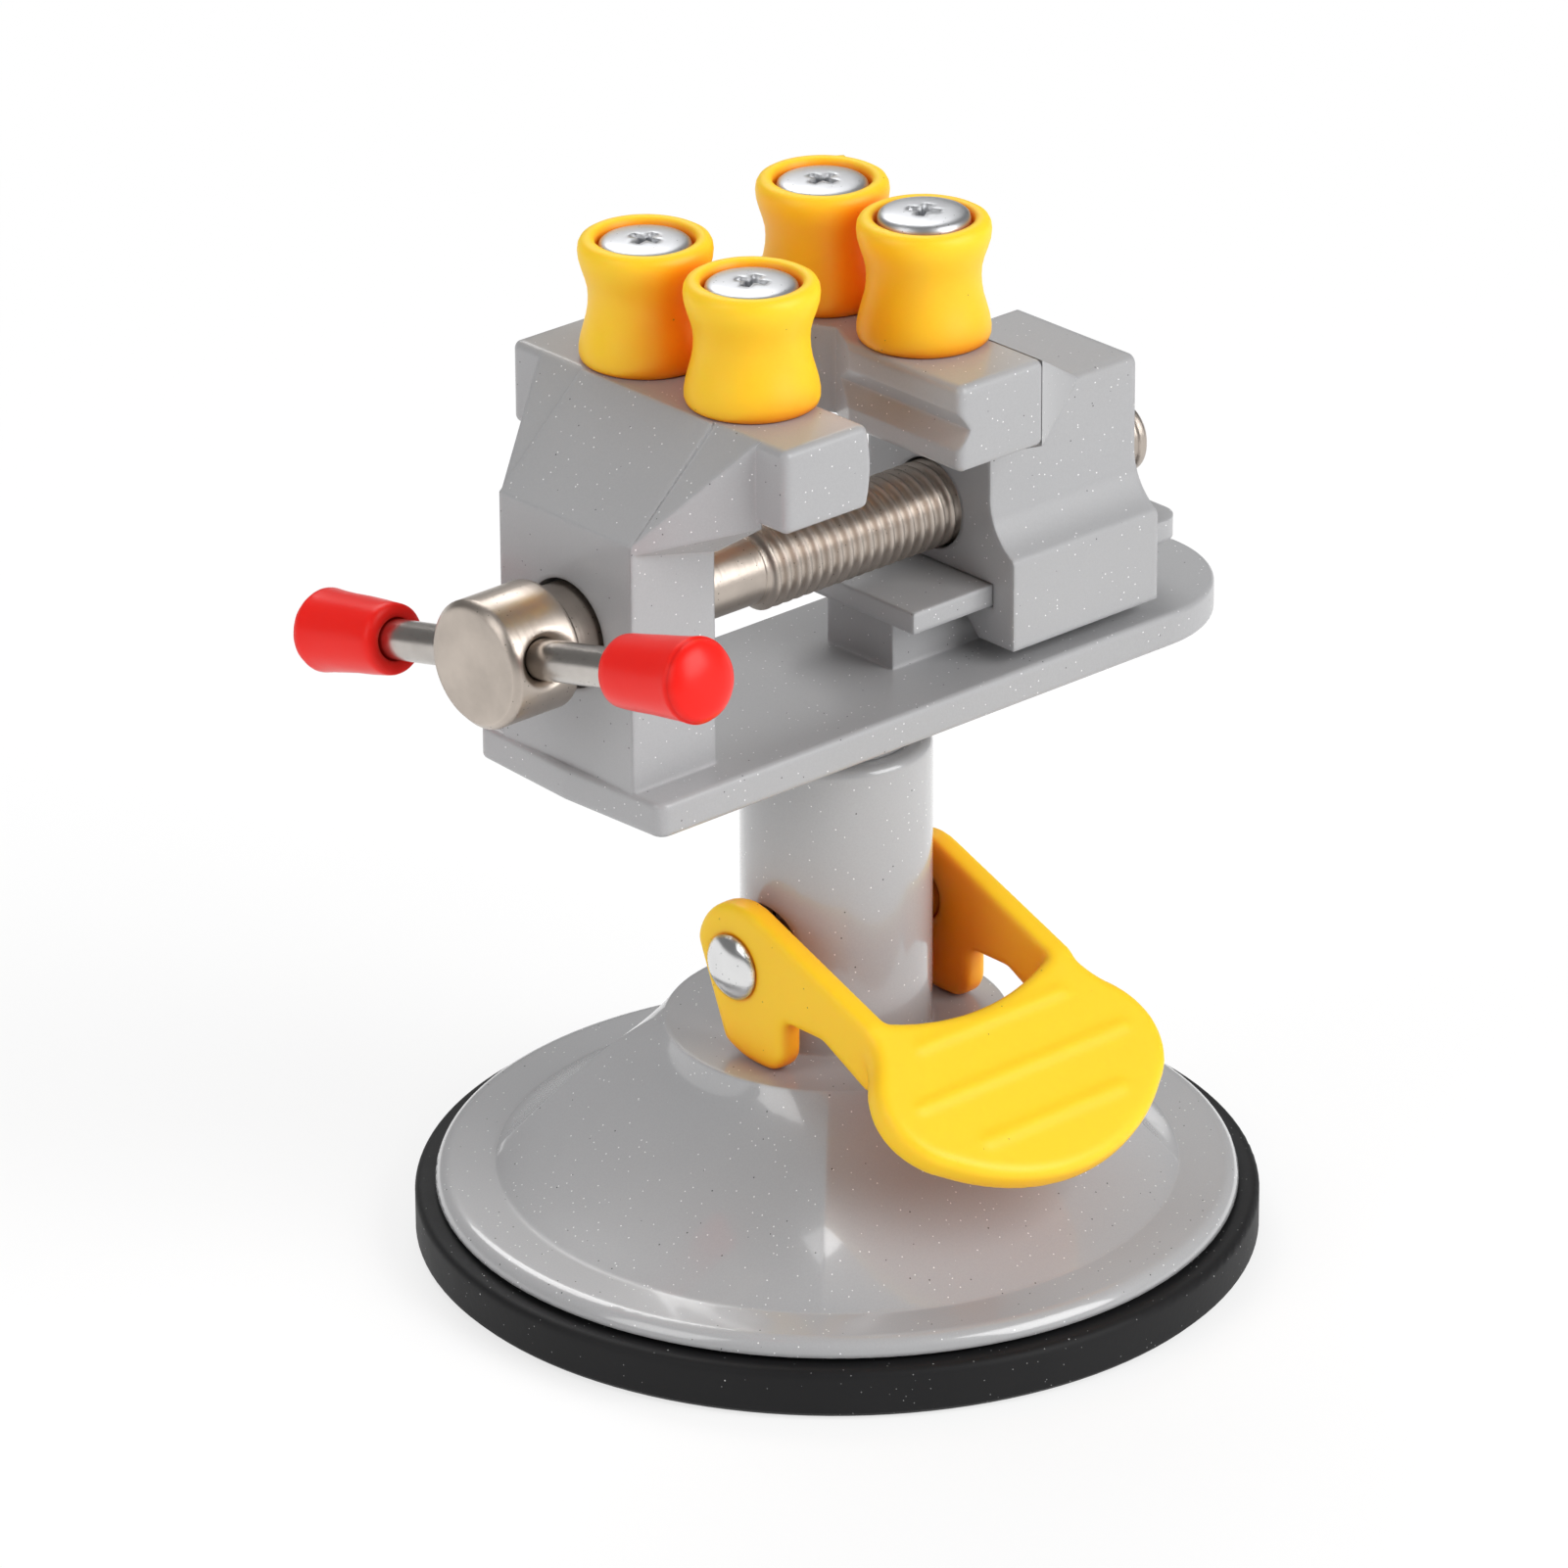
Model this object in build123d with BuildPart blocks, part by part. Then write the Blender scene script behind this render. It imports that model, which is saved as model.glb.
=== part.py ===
from build123d import *
from math import asin, atan2, cos, degrees, hypot, radians, sin
import os

os.makedirs("parts", exist_ok=True)

# Small bench vise on a suction foot, in millimetres.
# The origin is the middle of the foot's underside, on the post's axis. +Z is up, and +X runs
# along the lead screw from its handle to the moving jaw.

# ------------------------------------------------------------------ driving dimensions
# Fits between pieces
slide_gap = 0.2          # flat faces that slide past each other
run_gap = 0.1            # a shaft in its hole
seat_gap = 0.05          # a screw or stud in its own hole
loose_gap = 0.3          # round pieces that must never touch

# Rubber cup
cup_radius = 47.0
ring_height = 5.5
ring_inner_radius = 39.5
hollow_height = 3.9      # room under the cup's middle when the vise is locked
pad_radius = 20.5
pad_slope = 1.5
web_middle = (28.5, 5.4)     # top of the thin web between pad and ring, in radius and height
web_low = (34.5, 4.6)
seat_radius = 36.0           # where the ring starts to bear on the foot's rim
ring_step = 1.6              # how far inside the rim's edge the ring steps down
cup_edge_round = 0.8

# Foot casting
lip_radius = 44.7
lip_bottom = 6.05
lip_round = 1.75
rim_top = 7.9
skirt_radius = 38.0
platform_z = 25.2
platform_radius = 19.1
ridge_power = 0.8        # how fast the four ridges draw in with height
face_power = 2.1         # how fast the faces between them do
side_wall = 4.5
roof_wall = 3.0

# Post
post_radius = 10.6
post_top = 59.4
post_bore = 7.0
post_roof = 6.2          # metal above the bore
post_round = 1.0
slot_over = 1.6          # room in the slot above the pin

# Lever, its pin and the plunger
pin_z = 36.1
pin_radius = 3.0
pin_head_radius = 3.75
pin_head_height = 1.3
pin_head_brim = 0.3
pin_neck_radius = 2.3
pin_clip_thickness = 0.6
pin_end = 2.2                # how far the pin goes past its clip
arm_inner = 12.3
arm_width = 3.0
ear_radius = 6.9
ear_offset = (-0.7, 0.5)     # middle of the ear from the pin, in Y and Z
foot_gap = 0.15              # the cam's foot above the platform
stem_stroke = 3.6            # how far the cup is let down
lever_travel = 60            # degrees
arm_end_y = -21.5            # where the arms run into the paddle
paddle_drop = 36.87          # slope of the paddle in degrees
paddle_thickness = 3.6
paddle_half = 19.6
paddle_length = 23.6
paddle_top_round = 1.2
paddle_bottom_round = 1.0
rib_height = 0.25
rib_width = 1.5
rib_rows = ((-4.2, 22.5), (-10.6, 31.7), (-16.9, 21.5))  # place down the slope and length

# Bed plate, fixed jaw and rail
bed_front = -38.5
bed_back = 51.7              # the end is a half circle
bed_half = 14.86
bed_bottom = 63.5
bed_thickness = 3.95
bed_corner = 1.5
bed_edge = 0.6
bed_prow = 0.8
boss_radius = 8.2
boss_seat = 1.2              # how deep the boss sits in the post
upright_back = -26.3
upright_half = 10.5
upright_edge = 1.0
screw_z = 82.65
jaw_over_screw = 14.35       # from the screw's axis up to the jaws
jaw_height = 9.4
jaw_bottom = screw_z + jaw_over_screw
jaw_top = jaw_bottom + jaw_height
jaw_half = 21.8
jaw_edge = 0.9
fixed_jaw_back = -26.9
fixed_jaw_face = -15.2
face_bulge = 0.7
gusset_foot_z = jaw_bottom - 1.4  # where the slope leaves the upright's outer face
gusset_half = 17.5
gusset_side_z = jaw_bottom - 0.5
gusset_root_z = jaw_bottom - 5.2
gusset_overlap = 0.5         # how far the gusset reaches into its jaw
gusset_tip_inset = 0.2
gusset_tip_height = 1.0
web_half = 5.2
web_front = 3.6
web_back = 42.5
flange_half = 10.05
flange_front = 2.2
flange_back = 43.0
flange_corner = 3.0
flange_bottom = 73.6
rail_top = 76.0

# Moving jaw
slider_front = 13.8
slider_length = 21.7
slider_half = 13.5
slider_upper_half = 9.7
slider_bottom = 69.2
slider_waist_z = 79.6        # where the wide foot ends
slider_neck_z = 86.0         # where the narrow upper part begins
slider_top = jaw_bottom - 0.2
slider_edge = 1.0
slider_foot_cut = 2.6        # bevel under the feet, towards the rail's web
moving_jaw_face = -2.0
moving_jaw_back = 10.4
moving_jaw_top = jaw_top + 0.4
ramp_end = 26.8              # where the slope behind the jaw meets the slider's top
groove_z = jaw_bottom + jaw_height / 2
groove_half = 2.2
groove_depth = 1.5
notch_half = 4.35
notch_depth = 2.2

# Lead screw (M10 x 1.5) and cross bar
pitch = 1.5
crest_radius = 4.9
core_radius = 4.05
screw_head_front = -51.4
screw_head_back = -42.0
screw_head_radius = 7.1
neck_radius = 5.6
journal_radius = 4.9
step_depth = 4.0             # how deep the neck sits in the upright
relief_radius = 3.95
groove_radius = 3.75
screw_clip_radius = 7.4
thread_start = -13.5
thread_end = 41.8
screw_tail = 43.5
tail_radius = 4.3
nut_bore = 5.2               # the jaw's hole, clear of the thread's crests
thread_root_half = 0.62      # half-widths of one thread at its root and crest
thread_crest_half = 0.12
bar_hole_flare = 2.4
bar_tilt = 12.7              # degrees, near end up
bar_radius = 2.2
bar_centre_x = -46.7
near_cap_mouth = 19.2
far_cap_mouth = -18.6
cap_mouth_radius = 4.05
cap_radius = 4.7
cap_end_wall = 1.6
cap_sleeve = 12.0            # from the mouth to the seam where the domed end begins
cap_dome = 1.7

# Pegs and their screws
peg_height = 13.8
peg_rim = 7.3
peg_waist = 6.2
peg_rim_height = 2.2
peg_seat_depth = 3.2
peg_proud_seat = 2.3
peg_screw_head = 5.0
peg_screw_head_height = 2.9
peg_screw_radius = 2.5
peg_screw_grip = 7.5         # thread length in the jaw
fixed_peg_x = -19.45
fixed_peg_y = 8.4
moving_peg_x = 5.56
moving_peg_y = 8.0

# Hidden fasteners
bed_screw_radius = 2.5
bed_screw_head = 4.25
bed_screw_head_height = 5.0
bed_screw_grip = 6.8
washer_radius = 5.5
washer_thickness = 1.0
clip_thickness = 1.0
stud_radius = 3.0
stud_top = 22.0
plate_radius = 18.0
plate_thickness = 1.2
plunger_top = 43.6

# ------------------------------------------------------------------ derived places
slot_half = pin_radius + 1.3
plunger_radius = post_bore - loose_gap
boss_bottom = post_top - boss_seat
bore_top = post_top - post_roof
bed_top = bed_bottom + bed_thickness
plate_bottom = hollow_height + 2.5
cam_height = pin_z - platform_z - foot_gap
near_tip = near_cap_mouth + cap_sleeve + cap_dome
far_tip = far_cap_mouth - cap_sleeve - cap_dome
clip_front = upright_back + run_gap
screw_axis = Axis((0, 0, screw_z), (1, 0, 0))


def polar(radius, angle):
    """Point in a plane at a radius and an angle in degrees"""
    return (radius * cos(radians(angle)), radius * sin(radians(angle)))


def body_radius(rise, power):
    """Radius of the foot's raised body at a share of its height"""
    return platform_radius + (skirt_radius - platform_radius) * (1 - rise) ** power


# ------------------------------------------------------------------ rubber cup
with BuildPart() as suction_cup:
    with BuildSketch(Plane.XZ):
        with BuildLine():
            Line((0, hollow_height), (0, plate_bottom))
            Polyline(
                (0, plate_bottom),
                (plate_radius + loose_gap, plate_bottom),
                (plate_radius + loose_gap, plate_bottom + plate_thickness),
                (pad_radius, plate_bottom + plate_thickness),
                (pad_radius + pad_slope, plate_bottom - 0.2),
            )
            ThreePointArc((pad_radius + pad_slope, plate_bottom - 0.2), web_middle, web_low)
            Polyline(
                web_low,
                (seat_radius, lip_bottom),
                (lip_radius - ring_step, lip_bottom),
                (lip_radius - ring_step + 0.2, ring_height),
                (cup_radius, ring_height),
                (cup_radius, 0.6),
                (cup_radius - 0.6, 0),
                (ring_inner_radius, 0),
            )
            TangentArc((0, hollow_height), (ring_inner_radius, 0), tangent=(1, 0))
        make_face()
        fillet(vertices().sort_by(Axis.X)[-2:].sort_by(Axis.Y)[-1], cup_edge_round)
    revolve(axis=Axis.Z)
suction_cup.part.label = "suction_cup"

# ------------------------------------------------------------------ foot and post
with BuildPart() as base_housing:
    body_height = platform_z - rim_top
    for rise in (0, 0.2, 0.45, 0.7, 1):
        ridge_radius = body_radius(rise, ridge_power)
        face_radius = body_radius(rise, face_power)
        with BuildSketch(Plane.XY.offset(rim_top + rise * body_height)):
            with BuildLine():
                for quarter in range(4):
                    middle = 90 * quarter
                    ThreePointArc(
                        polar(ridge_radius, middle - 45),
                        polar(face_radius, middle),
                        polar(ridge_radius, middle + 45),
                    )
            make_face()
    loft()

    # Flat rim with a rounded edge
    with BuildSketch(Plane.XZ):
        with Locations((lip_radius / 2, (lip_bottom + rim_top) / 2)):
            Rectangle(lip_radius, rim_top - lip_bottom)
        fillet(vertices().sort_by(Axis.X)[-2:].sort_by(Axis.Y)[-1], lip_round)
    revolve(axis=Axis.Z)

    # Post
    with BuildSketch(Plane.XY.offset(platform_z - roof_wall)):
        Circle(post_radius)
    extrude(amount=post_top - platform_z + roof_wall)
    fillet(base_housing.edges().group_by(Axis.Z)[-1], post_round)

    # Hollow under the raised body: it follows the faces, one wall inside them
    hollow_rises = (0, 0.25, 0.5, 0.75)
    hollow_points = [
        (body_radius(rise, face_power) - side_wall, rim_top + rise * body_height)
        for rise in hollow_rises
    ]
    hollow_roof = platform_z - roof_wall
    with BuildSketch(Plane.XZ):
        with BuildLine():
            Polyline((0, hollow_roof), (0, 0), (hollow_points[0][0], 0), hollow_points[0])
            Spline(*hollow_points)
            Polyline(hollow_points[-1], (hollow_points[-1][0] - 1.5, hollow_roof), (0, hollow_roof))
        make_face()
    revolve(axis=Axis.Z, mode=Mode.SUBTRACT)

    # Bore for the plunger, hole for the bed's screw and seat for its boss
    with BuildSketch(Plane.XY.offset(hollow_roof - 1)):
        Circle(post_bore)
    extrude(amount=bore_top - hollow_roof + 1, mode=Mode.SUBTRACT)
    with BuildSketch(Plane.XY.offset(bore_top - 1)):
        Circle(bed_screw_radius + loose_gap)
    extrude(amount=post_roof + 2, mode=Mode.SUBTRACT)
    with BuildSketch(Plane.XY.offset(boss_bottom)):
        Circle(boss_radius + run_gap)
    extrude(amount=boss_seat + 1, mode=Mode.SUBTRACT)

    # Upright slots that let the pin go down with the plunger
    slot_low = pin_z - stem_stroke
    slot_high = pin_z + slot_over
    with BuildSketch(Plane.YZ):
        with Locations((0, (slot_low + slot_high) / 2)):
            SlotCenterToCenter(slot_high - slot_low, 2 * slot_half, rotation=90)
    extrude(amount=post_radius + 1, both=True, mode=Mode.SUBTRACT)
base_housing.part.label = "base_housing"

# ------------------------------------------------------------------ stem: stud, plunger, pin, clip
with BuildPart() as cup_stud:
    with BuildSketch(Plane.XY.offset(plate_bottom)):
        Circle(plate_radius)
    extrude(amount=plate_thickness)
    with BuildSketch(Plane.XY.offset(plate_bottom)):
        Circle(stud_radius)
    extrude(amount=stud_top - plate_bottom)
    chamfer(cup_stud.edges().group_by(Axis.Z)[-1], 0.5)
cup_stud.part.label = "cup_stud"

plunger_bottom = plate_bottom + plate_thickness
with BuildPart() as plunger:
    with BuildSketch(Plane.XY.offset(plunger_bottom)):
        Circle(plunger_radius)
    extrude(amount=plunger_top - plunger_bottom)
    chamfer(plunger.faces().sort_by(Axis.Z)[-1].edges(), 0.6)
    with BuildSketch(Plane.XY.offset(plunger_bottom)):
        Circle(stud_radius + seat_gap)
    extrude(amount=stud_top + 1 - plunger_bottom, mode=Mode.SUBTRACT)
    with BuildSketch(Plane.YZ):
        with Locations((0, pin_z)):
            Circle(pin_radius + seat_gap)
    extrude(amount=plunger_radius + 1, both=True, mode=Mode.SUBTRACT)
plunger.part.label = "plunger"

# The pin carries both arms on the plunger. Its domed head and the clip keep them on.
arm_outer = arm_inner + arm_width
pin_clip_x = arm_outer + 0.25
with BuildPart() as lever_pin:
    with BuildSketch(Plane.XZ):
        with BuildLine():
            head_back = -arm_outer - run_gap
            dome_start = head_back - pin_head_brim
            Polyline(
                (dome_start - pin_head_height + pin_head_brim, pin_z),
                (pin_clip_x + pin_end, pin_z),
                (pin_clip_x + pin_end, pin_z + pin_radius - 0.6),
                (pin_clip_x + pin_end - 0.6, pin_z + pin_radius),
                (pin_clip_x + pin_clip_thickness + 0.1, pin_z + pin_radius),
                (pin_clip_x + pin_clip_thickness + 0.1, pin_z + pin_neck_radius),
                (pin_clip_x - 0.1, pin_z + pin_neck_radius),
                (pin_clip_x - 0.1, pin_z + pin_radius),
                (head_back, pin_z + pin_radius),
                (head_back, pin_z + pin_head_radius),
                (dome_start, pin_z + pin_head_radius),
            )
            TangentArc(
                (dome_start - pin_head_height + pin_head_brim, pin_z),
                (dome_start, pin_z + pin_head_radius),
                tangent=(0, 1),
            )
        make_face()
    revolve(axis=Axis((0, 0, pin_z), (1, 0, 0)))
lever_pin.part.label = "lever_pin"


def clip_profile(outer, inner, mouth):
    """Flat retaining clip: a ring with an open mouth below and two small notches beside it"""
    with BuildSketch() as clip:
        Circle(outer)
        Circle(inner, mode=Mode.SUBTRACT)
        with Locations((0, -outer)):
            Rectangle(mouth, 2 * outer, mode=Mode.SUBTRACT)
        with Locations((inner * 0.95, inner * 0.5), (-inner * 0.95, inner * 0.5)):
            Circle(inner * 0.3, mode=Mode.SUBTRACT)
    return clip.sketch


with BuildPart() as pin_clip:
    with BuildSketch(Plane((pin_clip_x, 0, pin_z), x_dir=(0, 1, 0), z_dir=(1, 0, 0))):
        add(clip_profile(2 * pin_neck_radius, pin_neck_radius + seat_gap, 2 * pin_neck_radius - 0.9))
    extrude(amount=pin_clip_thickness)
pin_clip.part.label = "pin_clip"

# ------------------------------------------------------------------ lever
# The arms' outline is drawn from the pin, in Y and Z. Its foot is a cam: it follows the pin's
# height over the platform, which falls evenly with the lever's angle.
cam_drop = stem_stroke / radians(lever_travel)


def cam_point(angle):
    """Point of the cam that touches down when the lever has turned by an angle in degrees"""
    turn = radians(angle)
    height = cam_height - cam_drop * turn
    return (
        height * sin(turn) - cam_drop * cos(turn),
        -height * cos(turn) - cam_drop * sin(turn),
    )


def ear_point(angle):
    """Point of the round ear at an angle in degrees"""
    along, up = polar(ear_radius, angle)
    return (ear_offset[0] + along, ear_offset[1] + up)


arm_reach = ear_offset[0] - arm_end_y
top_slope = degrees(atan2(ear_offset[1], arm_reach) + asin(ear_radius / hypot(arm_reach, ear_offset[1])))
ear_right = 8
ear_left = 90 + top_slope
heel = cam_point(32)
toe = (-5.0, -cam_height)
toe_back = -8.0
arm_under = -4.2             # underside of the arm beside the cam
arm_root = (-21.1, -7.8)
paddle_inside = (-26.0, -6.5)
paddle_sink = 0.9            # how far the arm's end lies below the paddle's top

with BuildPart() as lever_arm:
    with BuildSketch(Plane((arm_inner, 0, pin_z), x_dir=(0, 1, 0), z_dir=(1, 0, 0))):
        with BuildLine():
            ThreePointArc(ear_point(ear_right), ear_point((ear_right + ear_left) / 2), ear_point(ear_left))
            Polyline(
                ear_point(ear_left),
                (arm_end_y, 0),
                (paddle_inside[0], 0.75 * (paddle_inside[0] - arm_end_y) - paddle_sink),
                paddle_inside,
                arm_root,
                (-14.1, arm_under),
                (toe_back, arm_under),
                (toe_back, toe[1] + toe[0] - toe_back),
            )
            TangentArc((toe_back, toe[1] + toe[0] - toe_back), toe, tangent=(0, -1))
            Line(toe, cam_point(0))
            ThreePointArc(cam_point(0), cam_point(16), heel)
            Line(heel, ear_point(ear_right))
        make_face()
        fillet(vertices().sort_by(lambda v: abs(v.X - toe_back) + abs(v.Y - arm_under))[0], 1.0)
    extrude(amount=arm_width)
    fillet(lever_arm.faces().sort_by(Axis.X)[-1].edges(), 0.8)
    fillet(lever_arm.faces().sort_by(Axis.X)[0].edges(), 0.6)
    with BuildSketch(Plane((arm_inner, 0, pin_z), x_dir=(0, 1, 0), z_dir=(1, 0, 0))):
        Circle(pin_radius + run_gap)
    extrude(amount=arm_width, mode=Mode.SUBTRACT)

paddle_plane = Plane(
    (0, arm_end_y, pin_z),
    x_dir=(1, 0, 0),
    z_dir=(0, -sin(radians(paddle_drop)), cos(radians(paddle_drop))),
)
nose_half = 15.6             # half-width where the front arc meets the corners
nose_y = -17.9
side_y = -10.6               # widest place
flare_half = 17.2
flare_y = -4.9
mouth_y = -2.3               # deepest place of the opening between the arms
corner_point = (paddle_half - 1.0, -14.65)
shoulder_point = (paddle_half - 0.8, -7.3)
flare_point = (arm_outer + 0.5, -2.6)
arm_lap = 0.4                # how far the paddle reaches up into the arms
lap_outer = arm_outer - 0.3
lap_inner = arm_inner + 0.2


def paddle_outline():
    """The paddle seen square on, from the arms' ends down to its front edge"""
    with BuildSketch() as outline:
        with BuildLine():
            ThreePointArc((-nose_half, nose_y), (0, -paddle_length), (nose_half, nose_y))
            for side in (1, -1):
                ThreePointArc(
                    (side * nose_half, nose_y),
                    (side * corner_point[0], corner_point[1]),
                    (side * paddle_half, side_y),
                )
                ThreePointArc(
                    (side * paddle_half, side_y),
                    (side * shoulder_point[0], shoulder_point[1]),
                    (side * flare_half, flare_y),
                )
                ThreePointArc(
                    (side * flare_half, flare_y),
                    (side * flare_point[0], flare_point[1]),
                    (side * lap_outer, arm_lap),
                )
                Line((side * lap_outer, arm_lap), (side * lap_inner, arm_lap))
            ThreePointArc((lap_inner, arm_lap), (0, mouth_y), (-lap_inner, arm_lap))
        make_face()
    return outline.sketch


paddle_axis = Axis(paddle_plane.origin, paddle_plane.z_dir)
with BuildPart() as lever:
    with BuildSketch(paddle_plane.offset(-paddle_thickness)):
        add(paddle_outline())
    extrude(amount=paddle_thickness)
    fillet(lever.faces().sort_by(paddle_axis)[-1].edges(), paddle_top_round)
    fillet(lever.faces().sort_by(paddle_axis)[0].edges(), paddle_bottom_round)

    # Three low ribs across the top
    for rib_y, rib_length in rib_rows:
        with BuildSketch(paddle_plane.offset(-rib_height)):
            with Locations((0, rib_y)):
                SlotOverall(rib_length, rib_width)
        extrude(amount=2 * rib_height, taper=25)
    add(lever_arm.part)
    mirror(lever_arm.part, about=Plane.YZ)
lever.part.label = "lever"

# ------------------------------------------------------------------ bed with the fixed jaw
def gusset_section(left):
    """Cross-section of a gusset, from the corners of its left half"""
    right = [(-across, height) for across, height in reversed(left)]
    with BuildSketch() as section:
        with BuildLine():
            Polyline(*left, *right, close=True)
        make_face()
    return section.sketch


def gusset_tip(half, top):
    """Corners of a gusset's small end, just inside the block it runs out on"""
    side = gusset_tip_inset - half
    return [(side + 0.1, top - gusset_tip_height - 0.2), (side, top - gusset_tip_height), (side, top - 0.1)]


# The jaw alone, its gripping face slightly crowned
with BuildPart() as fixed_jaw:
    with BuildSketch(Plane.XZ):
        with BuildLine():
            Polyline(
                (fixed_jaw_face, jaw_top),
                (fixed_jaw_back, jaw_top),
                (fixed_jaw_back, jaw_bottom),
                (fixed_jaw_face, jaw_bottom),
            )
            ThreePointArc(
                (fixed_jaw_face, jaw_bottom),
                (fixed_jaw_face + face_bulge, (jaw_bottom + jaw_top) / 2),
                (fixed_jaw_face, jaw_top),
            )
        make_face()
    extrude(amount=jaw_half, both=True)
    fillet(fixed_jaw.edges(), jaw_edge)

with BuildPart() as vise_bed:
    with BuildSketch(Plane.XY.offset(bed_bottom)):
        with BuildLine():
            round_start = bed_back - bed_half
            Polyline(
                (round_start, -bed_half),
                (bed_front, -bed_half),
                (bed_front - bed_prow, 0),
                (bed_front, bed_half),
                (round_start, bed_half),
            )
            ThreePointArc((round_start, bed_half), (bed_back, 0), (round_start, -bed_half))
        make_face()
        fillet(vertices().filter_by(lambda v: v.X < 0 and abs(v.Y) > 1), bed_corner)
    extrude(amount=bed_thickness)
    fillet(vise_bed.faces().sort_by(Axis.Z)[-1].edges(), bed_edge)
    fillet(vise_bed.faces().sort_by(Axis.Z)[0].edges(), bed_edge)

    # Upright, sloped back to the jaw at its top
    with BuildSketch(Plane.XZ):
        with BuildLine():
            Polyline(
                (bed_front, bed_bottom + 1),
                (bed_front, gusset_foot_z),
                (fixed_jaw_back, jaw_top),
                (upright_back, jaw_top),
                (upright_back, bed_bottom + 1),
                close=True,
            )
        make_face()
    extrude(amount=upright_half, both=True)
    fillet(vise_bed.edges().filter_by(Axis.Z).group_by(Axis.X)[0], upright_edge)
    fillet(
        vise_bed.edges().filter_by(Axis.Z).filter_by(lambda e: abs(e.center().X - upright_back) < 0.01),
        upright_edge,
    )

    # Gusset that widens from the upright to the jaw's back
    fixed_root = [
        (-upright_half, gusset_root_z),
        (-gusset_half, gusset_side_z),
        (-gusset_half, jaw_top),
    ]
    with BuildSketch(Plane.YZ.offset(fixed_jaw_back + gusset_overlap)):
        add(gusset_section(fixed_root))
    with BuildSketch(Plane.YZ.offset(bed_front)):
        add(gusset_section(gusset_tip(upright_half, gusset_foot_z)))
    loft(ruled=True)

    add(fixed_jaw.part)

    # T-shaped rail
    with BuildSketch(Plane.XY.offset(bed_top - 0.5)):
        with Locations(((web_front + web_back) / 2, 0)):
            Rectangle(web_back - web_front, 2 * web_half)
    extrude(amount=flange_bottom - bed_top + 1)
    with BuildSketch(Plane.XY.offset(flange_bottom)):
        with Locations(((flange_front + flange_back) / 2, 0)):
            Rectangle(flange_back - flange_front, 2 * flange_half)
        fillet(vertices().group_by(Axis.X)[-1], flange_corner)
    extrude(amount=rail_top - flange_bottom)

    # Round boss under the plate, with the thread for the bed's screw
    with BuildSketch(Plane.XY.offset(boss_bottom)):
        Circle(boss_radius)
    extrude(amount=bed_bottom - boss_bottom + 1)
    with BuildSketch(Plane.XY.offset(boss_bottom)):
        Circle(bed_screw_radius + seat_gap)
    extrude(amount=bed_screw_grip + 1, mode=Mode.SUBTRACT)

    # Stepped bore for the lead screw, and the pegs' screw holes
    with Locations(Plane((bed_front, 0, screw_z), z_dir=(-1, 0, 0))):
        CounterBoreHole(
            journal_radius + run_gap,
            neck_radius + 0.5,
            step_depth,
            depth=upright_back - bed_front + 1,
        )
    for side in (-1, 1):
        with BuildSketch(Plane.XY.offset(jaw_top)):
            with Locations((fixed_peg_x, side * fixed_peg_y)):
                Circle(peg_screw_radius + seat_gap)
        extrude(amount=-peg_screw_grip - 0.5, mode=Mode.SUBTRACT)
vise_bed.part.label = "vise_bed"

# ------------------------------------------------------------------ moving jaw
with BuildPart() as jaw_block:
    with BuildSketch(Plane.XY.offset(jaw_bottom)):
        with Locations(((moving_jaw_face + moving_jaw_back) / 2, 0)):
            Rectangle(moving_jaw_back - moving_jaw_face, 2 * jaw_half)
    extrude(amount=moving_jaw_top - jaw_bottom)
    fillet(jaw_block.edges(), jaw_edge)

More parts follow.
